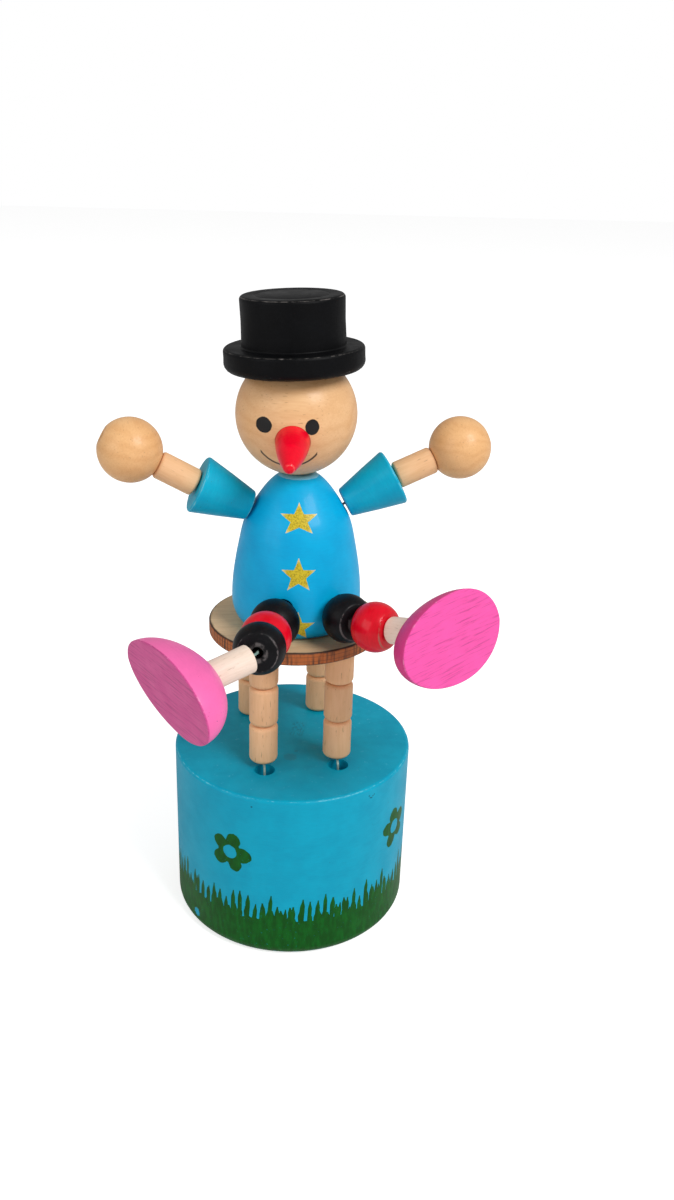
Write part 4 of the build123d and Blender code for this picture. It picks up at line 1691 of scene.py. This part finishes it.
# ---- arms
@dataclass
class Arm:
    """Sleeve cone, bare forearm and ball hand on one string; millimetres."""

    shop: Workshop
    side: str
    ways: tuple[Pair, ...]
    seed: float
    bore: float = 1.8
    sleeve_ends: Pair = (2.9, 5.7)
    sleeve_round: float = 0.5
    forearm_round: float = 0.6
    wrist_flat: float = 2.3
    knot_flat: float = 2.0
    recess: Pair = (1.2, 2.6)
    scratches: float = 0.0

    def sleeve(self) -> Thing:
        """Turns the sleeve.

        Returns:
            The sleeve.
        """
        name = f"{self.side}_sleeve"
        place = place_of(name, heading(*self.ways[0]))
        length = place.length / MM
        (low, high), soft = self.sleeve_ends, self.sleeve_round
        outer = rounded([
            (self.bore / 2, 0, 0), (low, 0, soft), ((low + high) / 2 + 0.06, length / 2, 0),
            (high, length, soft), (self.bore / 2, length, 0),
        ])
        outline = in_metres(bored(outer, self.bore / 2))
        coat = Paint(
            rgb(0.0, 0.44, 0.64), rgb(0.0, 0.33, 0.54), rgb(0.14, 0.50, 0.62), roughness=0.38, gloss=0.1,
            sheen=0.16, fibre=0.04, specks=self.scratches, streak=0.15, seed=self.seed,
        )
        wear = joined_wear(ring_at(0.2, low - 0.1, 0.2, 0.4), ring_at(length - 0.2, high - 0.2, 0.16, 0.5))
        paint = coat.dress(f"{name}_coat", place, None, wear)
        piece = self.shop.turned(f"{name}_cone", outline, place, paint, 72)
        return self.shop.hand_over(piece, name, "shirt_paint", name)

    def forearm(self) -> Thing:
        """Turns the forearm.

        Returns:
            The forearm.
        """
        name = f"{self.side}_forearm"
        place = place_of(name, heading(*self.ways[1]))
        soft, bore = self.forearm_round * MM, self.bore * MM / 2
        radius, length = place.radius, place.length
        outer = rounded([(bore, 0, 0), (radius, 0, soft), (radius, length, soft), (bore, length, 0)])
        timber = Timber(
            rgb(0.90, 0.56, 0.31), rgb(0.78, 0.44, 0.21), ring=1.7, ring_share=0.2, seed=self.seed
        )
        wood = timber.dress(f"{name}_timber", place)
        piece = self.shop.turned(f"{name}_dowel", bored(outer, bore), place, wood, 56)
        return self.shop.hand_over(piece, name, "bare_wood", name)

    def hand(self) -> Thing:
        """Turns the hand, with its flats, bore and knot recess.

        Returns:
            The hand.
        """
        name = f"{self.side}_hand"
        place = place_of(name, heading(*self.ways[2]))
        ball, bore, (recess, depth) = place.radius / MM, self.bore / 2, self.recess
        wrist, knot = math.sqrt(ball**2 - self.wrist_flat**2), math.sqrt(ball**2 - self.knot_flat**2)
        full = wrist + knot
        outline = [
            (bore, 0), (self.wrist_flat - 0.02, 0), *ball_side(wrist, ball, wrist, knot, 48),
            (recess + 0.1, full), (recess, full - 0.1), (recess, full - depth), (bore, full - depth),
            (bore, 0),
        ]
        timber = Timber(
            rgb(0.87, 0.51, 0.235), rgb(0.74, 0.38, 0.15), rgb(0.46, 0.22, 0.09), Grain.ACROSS, ring=2.0,
            ring_share=0.3, roughness=0.42, lacquer=0.15, seed=self.seed,
        )
        wood = timber.dress(f"{name}_timber", place)
        piece = self.shop.turned(f"{name}_ball", in_metres(outline), place, wood, 96, 35)
        return self.shop.hand_over(piece, name, "lacquered_wood", name)

    def build(self) -> list[Thing]:
        """Makes the arm's three pieces."""
        return [self.sleeve(), self.forearm(), self.hand()]


# ---- legs and feet
@dataclass(frozen=True)
class BeadLook:
    """Paint of one leg bead."""

    coat: Paint
    slot: str
    worn: float


@dataclass
class Leg:
    """Ball beads, a dowel shin and a half-egg foot on one string; millimetres."""

    shop: Workshop
    side: str
    beads: tuple[str, ...]
    ways: tuple[Pair, ...]
    foot_turn: float
    # Lit and shaded copies of one pink for the dome and the sole: painted light and shade.
    dome: Colour
    sole: Colour
    seed: float
    bead_bore: float = 2.0
    bore_round: float = 0.12
    shin_bore: Pair = (1.4, 6.5)
    foot_length: float = 27.2
    foot_width: float = 16.2
    blunt_share: float = 0.44
    rim_round: float = 0.35
    socket: float = 5.2
    rings: int = 72
    strips: int = 40

    def look(self, bead: str) -> BeadLook:
        """Chooses a bead's paint.

        Args:
            bead: which bead.

        Returns:
            Red for the knee bead, black for hip and calf beads.
        """
        if bead == "knee_bead":
            red = Paint(
                rgb(0.80, 0.0, 0.018), rgb(0.60, 0.0, 0.01), rgb(0.50, 0.12, 0.09), roughness=0.3, gloss=0.3,
                sheen=0.15, fibre=0.02, streak=0.2, seed=self.seed + 2.0,
            )
            return BeadLook(red, "red_bead_paint", 0.75)
        black = Paint(
            rgb(0.003, 0.003, 0.0045), rgb(0.0015, 0.0015, 0.002), rgb(0.10, 0.09, 0.09), roughness=0.4,
            gloss=0.03, sheen=0.16, dust=0.12, dust_colour=rgb(0.06, 0.06, 0.065), seed=self.seed,
        )
        return BeadLook(black, "black_bead_paint", 0.55)

    def bead(self, bead: str, way: Pair) -> Thing:
        """Turns one ball bead, with softened rims round its flats.

        Args:
            bead: which bead.
            way: azimuth and elevation of its bore, in degrees.

        Returns:
            The bead.
        """
        name = f"{self.side}_{bead}"
        place = place_of(name, heading(*way))
        ball, half, bore, soft = place.radius / MM, place.length / MM / 2, self.bead_bore / 2, self.bore_round
        flat, full = math.sqrt(ball**2 - half**2), 2 * half
        outline = [
            (bore, soft), (bore + soft, 0), (flat - 0.1, 0), *ball_side(half, ball, half, half, 40)[1:-1],
            (flat - 0.1, full), (bore + soft, full), (bore, full - soft), (bore, soft),
        ]
        look = self.look(bead)
        wear = joined_wear(
            ring_at(0.0, bore + 0.5, look.worn, 0.5), ring_at(full, bore + 0.5, look.worn, 0.5),
            ring_at(0.1, flat, 0.2, 0.4), ring_at(full - 0.1, flat, 0.2, 0.4),
        )
        coat = look.coat.dress(f"{name}_coat", place, None, wear)
        piece = self.shop.turned(f"{name}_ball", in_metres(outline), place, coat, 72)
        return self.shop.hand_over(piece, name, look.slot, name)

    def shin(self) -> Thing:
        """Turns the shin, with its blind string hole.

        Returns:
            The shin.
        """
        name = f"{self.side}_shin"
        place = place_of(name, heading(*self.ways[-1]))
        radius, length = place.radius, place.length
        bore, depth = self.shin_bore[0] * MM / 2, self.shin_bore[1] * MM
        outer = rounded([(bore, 0, 0), (radius, 0, 0.3 * MM), (radius, length, 0)])
        outline = [(0, depth), (bore, depth), *outer, (0, length)]
        timber = Timber(
            rgb(0.93, 0.78, 0.66), rgb(0.80, 0.63, 0.49), rgb(0.50, 0.36, 0.26), ring=1.8, ring_share=0.2,
            roughness=0.5, seed=self.seed,
        )
        wood = timber.dress(f"{name}_timber", place)
        piece = self.shop.turned(f"{name}_dowel", outline, place, wood, 56)
        return self.shop.hand_over(piece, f"{self.side}_foot", "bare_wood", name)

    def foot_place(self) -> Place:
        """Where the foot stands.

        Returns:
            The middle of the sole's widest line, with the axis back towards the knee.
        """
        way = heading(*self.ways[-1])
        shin = place_of(f"{self.side}_shin", way)
        rise = place_of(f"{self.side}_foot", way).end()
        sole = shin.origin + way * (rise - shin.origin).dot(way)
        return Place(sole, way * -1)

    def lengthwise(self) -> Vector:
        """Which way the foot lies.

        Returns:
            The direction of its sharp end.
        """
        way = heading(*self.ways[-1])
        level = UP.cross(way).normalized()
        return (Matrix.Rotation(math.radians(self.foot_turn), 3, way) @ level).normalized()

    def half_width(self, along: float) -> float:
        """Half the foot's width at a distance from its widest line, in millimetres."""
        reach = self.foot_length * (self.blunt_share if along < 0 else 1 - self.blunt_share)
        return self.foot_width / 2 * math.sqrt(max(0.0, 1 - (along / reach) ** 2))

    def section(self, along: float) -> list[Pair]:
        """Closed cross-section of the half egg, sole first.

        Args:
            along: distance from the widest line, in millimetres.

        Returns:
            Sideways place and height above the sole of each point.
        """
        width = max(self.half_width(along), 0.001)
        soft = min(self.rim_round, width * 0.3)
        low = math.asin(min(1.0, soft / (width - soft * 0.2)))
        arch = [low + (math.pi - 2 * low) * i / (self.strips - 1) for i in range(self.strips)]
        points = [(width * math.cos(a), width * math.sin(a)) for a in arch]
        edge = width * math.cos(low)
        inner = edge - soft * 0.75
        rim = [(-edge * 0.997, soft * 0.45), (-edge + soft * 0.28, soft * 0.12)]
        sole = [(-inner + 2 * inner * i / 9, 0.0) for i in range(10)]
        return points + rim + sole + [(-across, height) for across, height in reversed(rim)]

    def egg(self, name: str, material: Finish) -> Thing:
        """Skins the half egg from cross-sections placed closer towards its ends.

        Args:
            name: of the object.
            material: its paint.

        Returns:
            The half egg.
        """
        blunt = self.foot_length * self.blunt_share
        sharp, half = self.foot_length - blunt, self.rings // 2
        stations = [-blunt * math.cos(math.pi / 2 * i / half) for i in range(1, half)]
        stations += [sharp * math.sin(math.pi / 2 * i / half) for i in range(half)]
        place, forward = self.foot_place(), self.lengthwise()
        across = place.axis.cross(forward)
        work = bmesh.new()
        loops = []
        for along in stations:
            ring = [
                place.origin + (forward * along + across * side + place.axis * height) * MM
                for side, height in self.section(along)
            ]
            loops.append([work.verts.new(point) for point in ring])
        for first, second in zip(loops, loops[1:]):
            for i in range(len(first)):
                j = (i + 1) % len(first)
                work.faces.new((first[i], first[j], second[j], second[i]))
        for loop, tip in ((loops[0], -blunt), (loops[-1], sharp)):
            pole = work.verts.new(place.origin + (forward * tip + place.axis * 0.02) * MM)
            for i in range(len(loop)):
                work.faces.new((loop[i], loop[(i + 1) % len(loop)], pole))
        bmesh.ops.recalc_face_normals(work, faces=work.faces)
        mesh = bpy.data.meshes.new(name)
        work.to_mesh(mesh)
        work.free()
        mesh.materials.append(material)
        return new_object(name, mesh)

    def foot(self) -> Thing:
        """Makes the foot, with the socket that its shin is glued into.

        Returns:
            The foot.
        """
        name = f"{self.side}_foot"
        place, way = self.foot_place(), heading(*self.ways[-1])
        coat = Sole(self.dome, self.sole, self.seed).dress(f"{name}_coat", place)
        foot = self.egg(f"{name}_egg", coat)
        end = place_of(f"{self.side}_shin", way).end()
        self.shop.drill(foot, [(end + way * 0.05 * MM, end - way * 12 * MM, (self.socket + 0.02) * MM)], 32)
        return self.shop.hand_over(foot, name, "foot_paint", name)

    def build(self) -> list[Thing]:
        """Makes the leg's beads, shin and foot."""
        beads = [self.bead(bead, way) for bead, way in zip(self.beads, self.ways)]
        return [*beads, self.shin(), self.foot()]


@dataclass(frozen=True)
class Sole:
    """Pink foot paint; the dome and the flat sole are lit and shaded copies of one pink, painted light and
    shade.
    """

    dome: Colour
    sole: Colour
    seed: float = 0.0

    def dress(self, name: str, place: Place) -> Finish:
        """Makes the material.

        Args:
            name: of the material.
            place: the sole's middle, with its axis up the shin.

        Returns:
            The material.
        """
        g = Graph(name)
        p = g.local(place)
        x, y, z = g.parts(p)
        moved = g.joined(x + self.seed, y, z)
        cloud = g.noise(moved, 0.2, 3.0).ramp(0.3, 0.7)
        grain = g.noise(g.joined(x * 0.09 + self.seed, y * 1.7, z * 1.7), 1.5, 5.0, 0.65)
        deep = tuple(channel * 0.86 for channel in self.dome[:3]) + (1.0,)
        dark = tuple(channel * 0.62 for channel in self.sole[:3]) + (1.0,)
        dome = g.mix(cloud * 0.45 + grain.ramp(0.4, 0.7) * 0.25, self.dome, deep)
        flat = g.mix(grain.ramp(0.47, 0.7) * 0.8 + cloud * 0.15, self.sole, dark)
        # The dome and the sole get the lit and the shaded copy of one pink: painted light and shade.
        under = z.ramp(0.34, 0.12)
        coat = g.mix(under, dome, flat)
        rim = abs(z - 0.22).ramp(0.22, 0.05) * g.noise(moved, 0.8, 4.0, 0.7).ramp(0.52, 0.66)
        coat = g.mix(rim * 0.4, coat, rgb(0.92, 0.42, 0.62))
        specks = g.noise(moved, 1.9, 2.0).ramp(0.73, 0.76) * 0.5
        coat = g.mix(specks, coat, rgb(0.12, 0.01, 0.03))
        roughness = cloud * 0.1 + grain.ramp(0.3, 0.7) * 0.08 + 0.3
        return g.shade(coat, roughness, grain * 0.7 + cloud * 0.2, 0.03, {"Specular IOR Level": 0.16})


# ---- strings
@dataclass
class Threading:
    """Nylon strings from the button's knots to the figure; millimetres."""

    shop: Workshop
    material: Finish
    radius: float = 0.25
    bend: float = 1.6
    knot: float = 1.1

    def run(self, string: str, number: int, points: Sequence[Vector]) -> Thing:
        """Sweeps one run of a string.

        Args:
            string: the CAD node.
            number: of the run.
            points: along the run.

        Returns:
            The run.
        """
        line = self.shop.line(f"{string}_run_{number}", points)
        values = {"Radius": self.radius * MM, "Bend": self.bend * MM, "Material": self.material}
        return self.shop.grow(line, self.shop.strand, values)

    def close(self, obj: Thing, string: str) -> Thing:
        self.shop.tidy(obj, 60)
        return self.shop.declare(obj, "nylon_string", string)

    def rides(self, string: str, number: int, body: str, points: Sequence[Vector]) -> Thing:
        """Makes a run that stays inside one body.

        Args:
            string: the CAD node.
            number: of the run.
            body: name of the body.
            points: along the run.

        Returns:
            The run.
        """
        run = self.run(string, number, points)
        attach(run, body)
        return self.close(run, string)

    def spans(self, string: str, number: int, bodies: tuple[str, str], points: Sequence[Vector]) -> Thing:
        """Makes a run between two jointed bodies; it is fixed in place and rides on neither.

        Args:
            string: the CAD node.
            number: of the run.
            bodies: names of the two bodies; not used.
            points: along the run, four; one body ends at the second, the other begins at the third.

        Returns:
            The run.
        """
        run = self.run(string, number, points)
        tuple(points[1])
        tuple(points[2])
        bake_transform(run)
        return self.close(run, string)

    def tied(self, string: str, number: int, body: str, at: Vector, axis: Vector) -> Thing:
        """Ties a knot: the line crosses itself three times inside a ball's room.

        Args:
            string: the CAD node.
            number: of the knot among the string's runs.
            body: what the knot lies in.
            at: its middle.
            axis: along the string.

        Returns:
            The knot.
        """
        place = Place(at, axis.normalized()).matrix()
        steps, wide, tall = 54, self.knot * MM * 0.24, self.knot * MM * 0.45
        points = []
        for i in range(steps):
            t = 2 * math.pi * i / steps
            x, y, z = math.sin(t) + 2 * math.sin(2 * t), math.cos(t) - 2 * math.cos(2 * t), -math.sin(3 * t)
            points.append(place @ Vector((x * wide, y * wide, z * tall)))
        knot = self.run(string, number, [*points, points[0]])
        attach(knot, body)
        return self.close(knot, string)


@dataclass(frozen=True)
class Station:
    """One body that a string passes, with the string's points in it from entry to exit."""

    body: str
    points: tuple[Vector, ...]

    def middle(self, last: bool) -> Vector:
        """Half-way along the first or last leg of its route, where two runs meet."""
        first, second = self.points[-2:] if last else self.points[:2]
        return (first + second) / 2


@dataclass
class Strings:
    """Routes of the five strings, read from where the threaded pieces stand; millimetres."""

    threading: Threading
    leg_ways: dict[str, tuple[Pair, ...]]
    arm_ways: dict[str, tuple[Pair, ...]]
    leg_beads: dict[str, tuple[str, ...]]
    wall: float = 6.0
    hip_height: float = 8.2
    hip_exit_height: float = 5.8
    hip_azimuths: Pair = (-23.0, 28.0)
    gather_height: float = 18.3
    inner_radius: float = 4.27
    overlap: float = 1.2
    sit: float = 0.4

    def thread(self, string: str, stations: Sequence[Station]) -> None:
        """Makes a string's runs from body to body.

        Args:
            string: the CAD node.
            stations: the bodies that it passes, in order.
        """
        joints = {frozenset((joint["parent"], joint["child"])) for joint in frame["joints"]}
        number = 0
        for here, there in zip(stations, stations[1:]):
            leave, enter = here.points[-1], there.points[0]
            begin, stop = here.middle(True), there.middle(False)
            number += 1
            if frozenset((here.body, there.body)) in joints:
                self.threading.spans(string, number, (here.body, there.body), [begin, leave, enter, stop])
            else:
                reach = self.overlap * MM
                on, back = (leave - begin).normalized() * reach, (enter - stop).normalized() * reach
                self.threading.rides(string, number, here.body, [begin, leave + on])
                number += 1
                self.threading.rides(string, number, there.body, [enter + back, stop])
        for station in stations:
            if len(station.points) > 2:
                number += 1
                inner = [station.middle(False), *station.points[1:-1], station.middle(True)]
                self.threading.rides(string, number, station.body, inner)

    def bore(self, node: str, body: str, axis: Vector) -> Station:
        """A string's way through a threaded piece."""
        place = place_of(node, axis)
        return Station(body, (place.origin, place.end()))

    def from_button(self, string: str, side: str, row: float, leg: str, leg_y: float) -> list[Station]:
        """The way up through the button, the drum, a stool leg and the seat.

        Args:
            string: the CAD node.
            side: left or right.
            row: how far back the drum's hole lies, in millimetres.
            leg: front or rear.
            leg_y: how far back the seat's hole lies, in millimetres.

        Returns:
            The bodies that the string passes, in order.
        """
        x = SIDES[side] * HOLE_X * MM
        drum, button = place_of("drum_base", UP), place_of("push_button", UP)
        seat = place_of("stool_seat", UP)
        hole, lift = Vector((x, row * MM, 0)), Vector((x, leg_y * MM, 0))
        knot = hole + UP * (button.origin.z + self.threading.knot * MM)
        self.threading.tied(string, 90, "button", knot, UP)
        ceiling = drum.end().z - self.wall * MM
        dowels = [f"stool_{leg}_{side}_{level}" for level in ("low", "mid", "top")]
        return [
            Station("button", (knot, hole + UP * button.end().z)),
            Station("drum", (hole + UP * ceiling, hole + UP * drum.end().z)),
            *(self.bore(dowel, dowel, UP) for dowel in dowels),
            Station("seat", (lift + UP * seat.origin.z, lift + UP * seat.end().z)),
        ]

    def inside(self, azimuth: float, reach: float, height: float) -> Vector:
        """A point inside the torso, from its axis in millimetres."""
        foot = place_of("torso", UP).origin
        return foot + heading(azimuth, 0) * reach * MM + UP * height * MM

    def leg(self, side: str) -> None:
        """Threads a leg string, from the button to the shin.

        Args:
            side: left or right.
        """
        string = f"{side}_leg_string"
        stations = self.from_button(string, side, -HOLE_Y, "front", FRONT_LEG_Y)
        seat_hole = stations[-1].points[-1]
        azimuth = self.hip_azimuths[0 if side == "left" else 1]
        girth = place_of("torso", UP).radius / MM
        turns = (
            seat_hole + UP * self.sit * MM,
            self.inside(azimuth, self.inner_radius, self.hip_height),
            self.inside(azimuth, girth, self.hip_exit_height),
        )
        stations.append(Station("torso", turns))
        ways = [heading(*pair) for pair in self.leg_ways[side]]
        for bead, way in zip(self.leg_beads[side], ways):
            stations.append(self.bore(f"{side}_{bead}", f"{side}_{bead}", way))
        shin = place_of(f"{side}_shin", ways[-1])
        stations.append(Station(f"{side}_foot", (shin.origin, shin.origin + ways[-1] * 6 * MM)))
        self.thread(string, stations)

    def arm(self, side: str) -> None:
        """Threads an arm string, from the button to the knot in the hand.

        Args:
            side: left or right.
        """
        string = f"{side}_arm_string"
        stations = self.from_button(string, side, HOLE_Y, "rear", HOLE_Y)
        ways = [heading(*pair) for pair in self.arm_ways[side]]
        sleeve = place_of(f"{side}_sleeve", ways[0])
        mouth = sleeve.origin - ways[0] * 0.4 * MM
        aside = Vector((SIDES[side] * 3 * MM, 0, 0))
        turns = (
            stations[-1].points[-1] + UP * self.sit * MM,
            self.inside(180.0, self.inner_radius, self.gather_height / 1.4) + aside,
            self.inside(SIDES[side] * 90.0, 1.6, self.gather_height),
            mouth - ways[0] * 4.7 * MM,
            mouth,
        )
        stations.append(Station("torso", turns))
        for node, way in zip(("sleeve", "forearm"), ways):
            stations.append(self.bore(f"{side}_{node}", f"{side}_{node}", way))
        hand = place_of(f"{side}_hand", ways[2])
        knot = hand.end() - ways[2] * 1.4 * MM
        stations.append(Station(f"{side}_hand", (hand.origin, knot)))
        self.thread(string, stations)
        self.threading.rides(string, 80, f"{side}_hand", [stations[-1].middle(False), knot])
        self.threading.tied(string, 91, f"{side}_hand", knot, ways[2])

    def neck(self, up: Vector) -> None:
        """Threads the head string, from the knot in the torso to the knot in the hat.

        Args:
            up: the head's own up.
        """
        string = "head_string"
        torso, head = place_of("torso", UP), place_of("head", up)
        tie, top = torso.origin + UP * self.gather_height * MM, place_of("top_hat", up).origin + up * 1.2 * MM
        stations = [Station("torso", (tie, torso.end())), Station("head", (head.origin, top))]
        self.thread(string, stations)
        self.threading.rides(string, 80, "torso", [tie, stations[0].middle(True)])
        self.threading.rides(string, 81, "head", [stations[1].middle(False), top])
        self.threading.tied(string, 90, "torso", tie, UP)
        self.threading.tied(string, 91, "head", top, up)

    def build(self, up: Vector) -> None:
        """Threads all five strings.

        Args:
            up: the head's own up.
        """
        for side in SIDES:
            self.leg(side)
            self.arm(side)
        self.neck(up)


# ---- studio and camera
@dataclass
class Studio:
    """Pale floor, a soft key lamp, a weak fill and an even world; metres and watts."""

    floor_size: float = 6.0
    key: Triple = (0.55, -0.75, 0.95)
    key_size: float = 0.55
    key_power: float = 11.2
    fill: Triple = (-0.9, -0.5, 0.5)
    fill_size: float = 0.8
    fill_power: float = 3.0
    world_strength: float = 0.38
    floor_lift: float = 0.66

    def floor(self) -> Thing:
        """Lays the floor, white to the camera but for the object's shadow.

        Returns:
            The floor.
        """
        half = self.floor_size / 2
        mesh = bpy.data.meshes.new("floor")
        corners = [(-half, -half, 0), (half, -half, 0), (half, half, 0), (-half, half, 0)]
        mesh.from_pydata(corners, [], [(0, 1, 2, 3)])
        floor = new_object("floor", mesh)
        g = Graph("floor_card")
        cloud = g.noise(g.local(Place(Vector((0, 0, 0)), UP)), 0.02, 2.0)
        pale = g.mix(cloud, rgb(0.80, 0.80, 0.80), rgb(0.78, 0.78, 0.78))
        sockets = {"Base Color": pale, "Roughness": 0.9, "Specular IOR Level": 0.1}
        card = g.add("ShaderNodeBsdfPrincipled", {}, sockets)
        glow = g.add("ShaderNodeEmission", {}, {"Color": rgb(1, 1, 1), "Strength": self.floor_lift})
        both = g.add("ShaderNodeAddShader", {}, {0: card, 1: glow})
        camera_ray = g.add("ShaderNodeLightPath", {}, {}, "Is Camera Ray")
        mesh.materials.append(g.finish(g.add("ShaderNodeMixShader", {}, {0: camera_ray, 1: card, 2: both})))
        return floor

    def lamp(self, name: str, spot: Triple, size: float, power: float) -> None:
        """Hangs a soft square lamp that faces the figure.

        Args:
            name: of the lamp.
            spot: where it hangs.
            size: of its side.
            power: in watts.
        """
        light = bpy.data.lights.new(name, "AREA")
        light.size, light.energy = size, power
        lamp = new_object(name, light)
        lamp.location = spot
        lamp.rotation_euler = (Vector((0, 0, 0.07)) - Vector(spot)).to_track_quat("-Z", "Y").to_euler()

    def world(self) -> None:
        """Even light all round, and plain white behind the object."""
        world = bpy.data.worlds.new("studio")
        bpy.context.scene.world = world
        world.use_nodes = True
        nodes, links = world.node_tree.nodes, world.node_tree.links
        nodes.clear()
        even, white = nodes.new("ShaderNodeBackground"), nodes.new("ShaderNodeBackground")
        even.inputs["Strength"].default_value = self.world_strength
        even.inputs["Color"].default_value = white.inputs["Color"].default_value = (1, 1, 1, 1)
        kinds = ("ShaderNodeLightPath", "ShaderNodeMixShader", "ShaderNodeOutputWorld")
        path, mix, output = (nodes.new(kind) for kind in kinds)
        links.new(path.outputs["Is Camera Ray"], mix.inputs[0])
        links.new(even.outputs[0], mix.inputs[1])
        links.new(white.outputs[0], mix.inputs[2])
        links.new(mix.outputs[0], output.inputs["Surface"])

    def build(self) -> None:
        """Sets up floor, lamps and world."""
        self.floor()
        self.lamp("key", self.key, self.key_size, self.key_power)
        self.lamp("fill", self.fill, self.fill_size, self.fill_power)
        self.world()
        bpy.context.scene.view_settings.view_transform = "Standard"


@dataclass(frozen=True)
class Viewpoint:
    """Where the photograph was taken from; millimetres, degrees and pixels."""

    spot: Triple = (-30.13, -194.65, 153.34)
    azimuth: float = 11.264
    down: float = 22.89
    roll: float = 2.005
    focal: float = 1050.0

    def build(self) -> Thing:
        """Places the camera.

        Returns:
            The camera.
        """
        lens = bpy.data.cameras.new("camera")
        lens.sensor_width = SENSOR
        lens.lens = self.focal * SENSOR / PHOTO_HEIGHT
        camera = new_object("camera", lens)
        a, e = math.radians(self.azimuth), math.radians(self.down)
        forward = Vector((math.sin(a) * math.cos(e), math.cos(a) * math.cos(e), -math.sin(e)))
        right = Vector((math.cos(a), -math.sin(a), 0))
        above = right.cross(forward)
        r = math.radians(self.roll)
        across = right * math.cos(r) + above * math.sin(r)
        turned = Matrix((across, forward.cross(across) * -1, forward * -1)).transposed()
        camera.matrix_world = Matrix.Translation(Vector(self.spot) * MM) @ turned.to_4x4()
        bpy.context.scene.camera = camera
        return camera


# ---- all of it
LEG_BEADS = {"left": ("hip_bead", "knee_bead", "calf_bead"), "right": ("hip_bead", "knee_bead")}
LEG_WAYS = {
    "left": ((-23.0, 0.0), (-19.0, 5.0), (-14.0, 10.0), (-64.0, -10.0)),
    "right": ((23.0, 6.0), (44.0, 6.0), (37.0, 14.0)),
}
ARM_WAYS = {
    "left": ((-90.0, 24.5), (-90.0, 29.0), (-90.0, 29.0)),
    "right": ((90.0, 28.0), (90.0, 23.5), (90.0, 23.5)),
}


def main() -> None:
    """Builds the toy, its studio and its camera."""
    logging.basicConfig(level=logging.INFO, format="%(message)s")
    shop = Workshop()
    Drum(shop).build()
    Button(shop).build()
    ReturnSpring(shop).build()
    Stool(shop).build()
    Torso(shop).build()
    head = Head(shop)
    head.build()
    Arm(shop, "left", ARM_WAYS["left"], seed=21.0, scratches=0.6).build()
    Arm(shop, "right", ARM_WAYS["right"], seed=37.0, scratches=0.15).build()
    # Painted light and shade: the left foot's dome is the lit copy of the pink and its sole the shaded copy;
    # the right foot's the other way round.
    Leg(
        shop, "left", LEG_BEADS["left"], LEG_WAYS["left"], foot_turn=178.0, dome=rgb(0.98, 0.17, 0.47),
        sole=rgb(0.70, 0.085, 0.31), seed=5.0,
    ).build()
    Leg(
        shop, "right", LEG_BEADS["right"], LEG_WAYS["right"], foot_turn=180.0, dome=rgb(0.70, 0.05, 0.24),
        sole=rgb(0.98, 0.105, 0.43), seed=8.0,
    ).build()
    Strings(Threading(shop, Nylon().dress("nylon_line")), LEG_WAYS, ARM_WAYS, LEG_BEADS).build(head.up())
    Studio().build()
    Viewpoint().build()


if __name__ == "__main__":
    main()
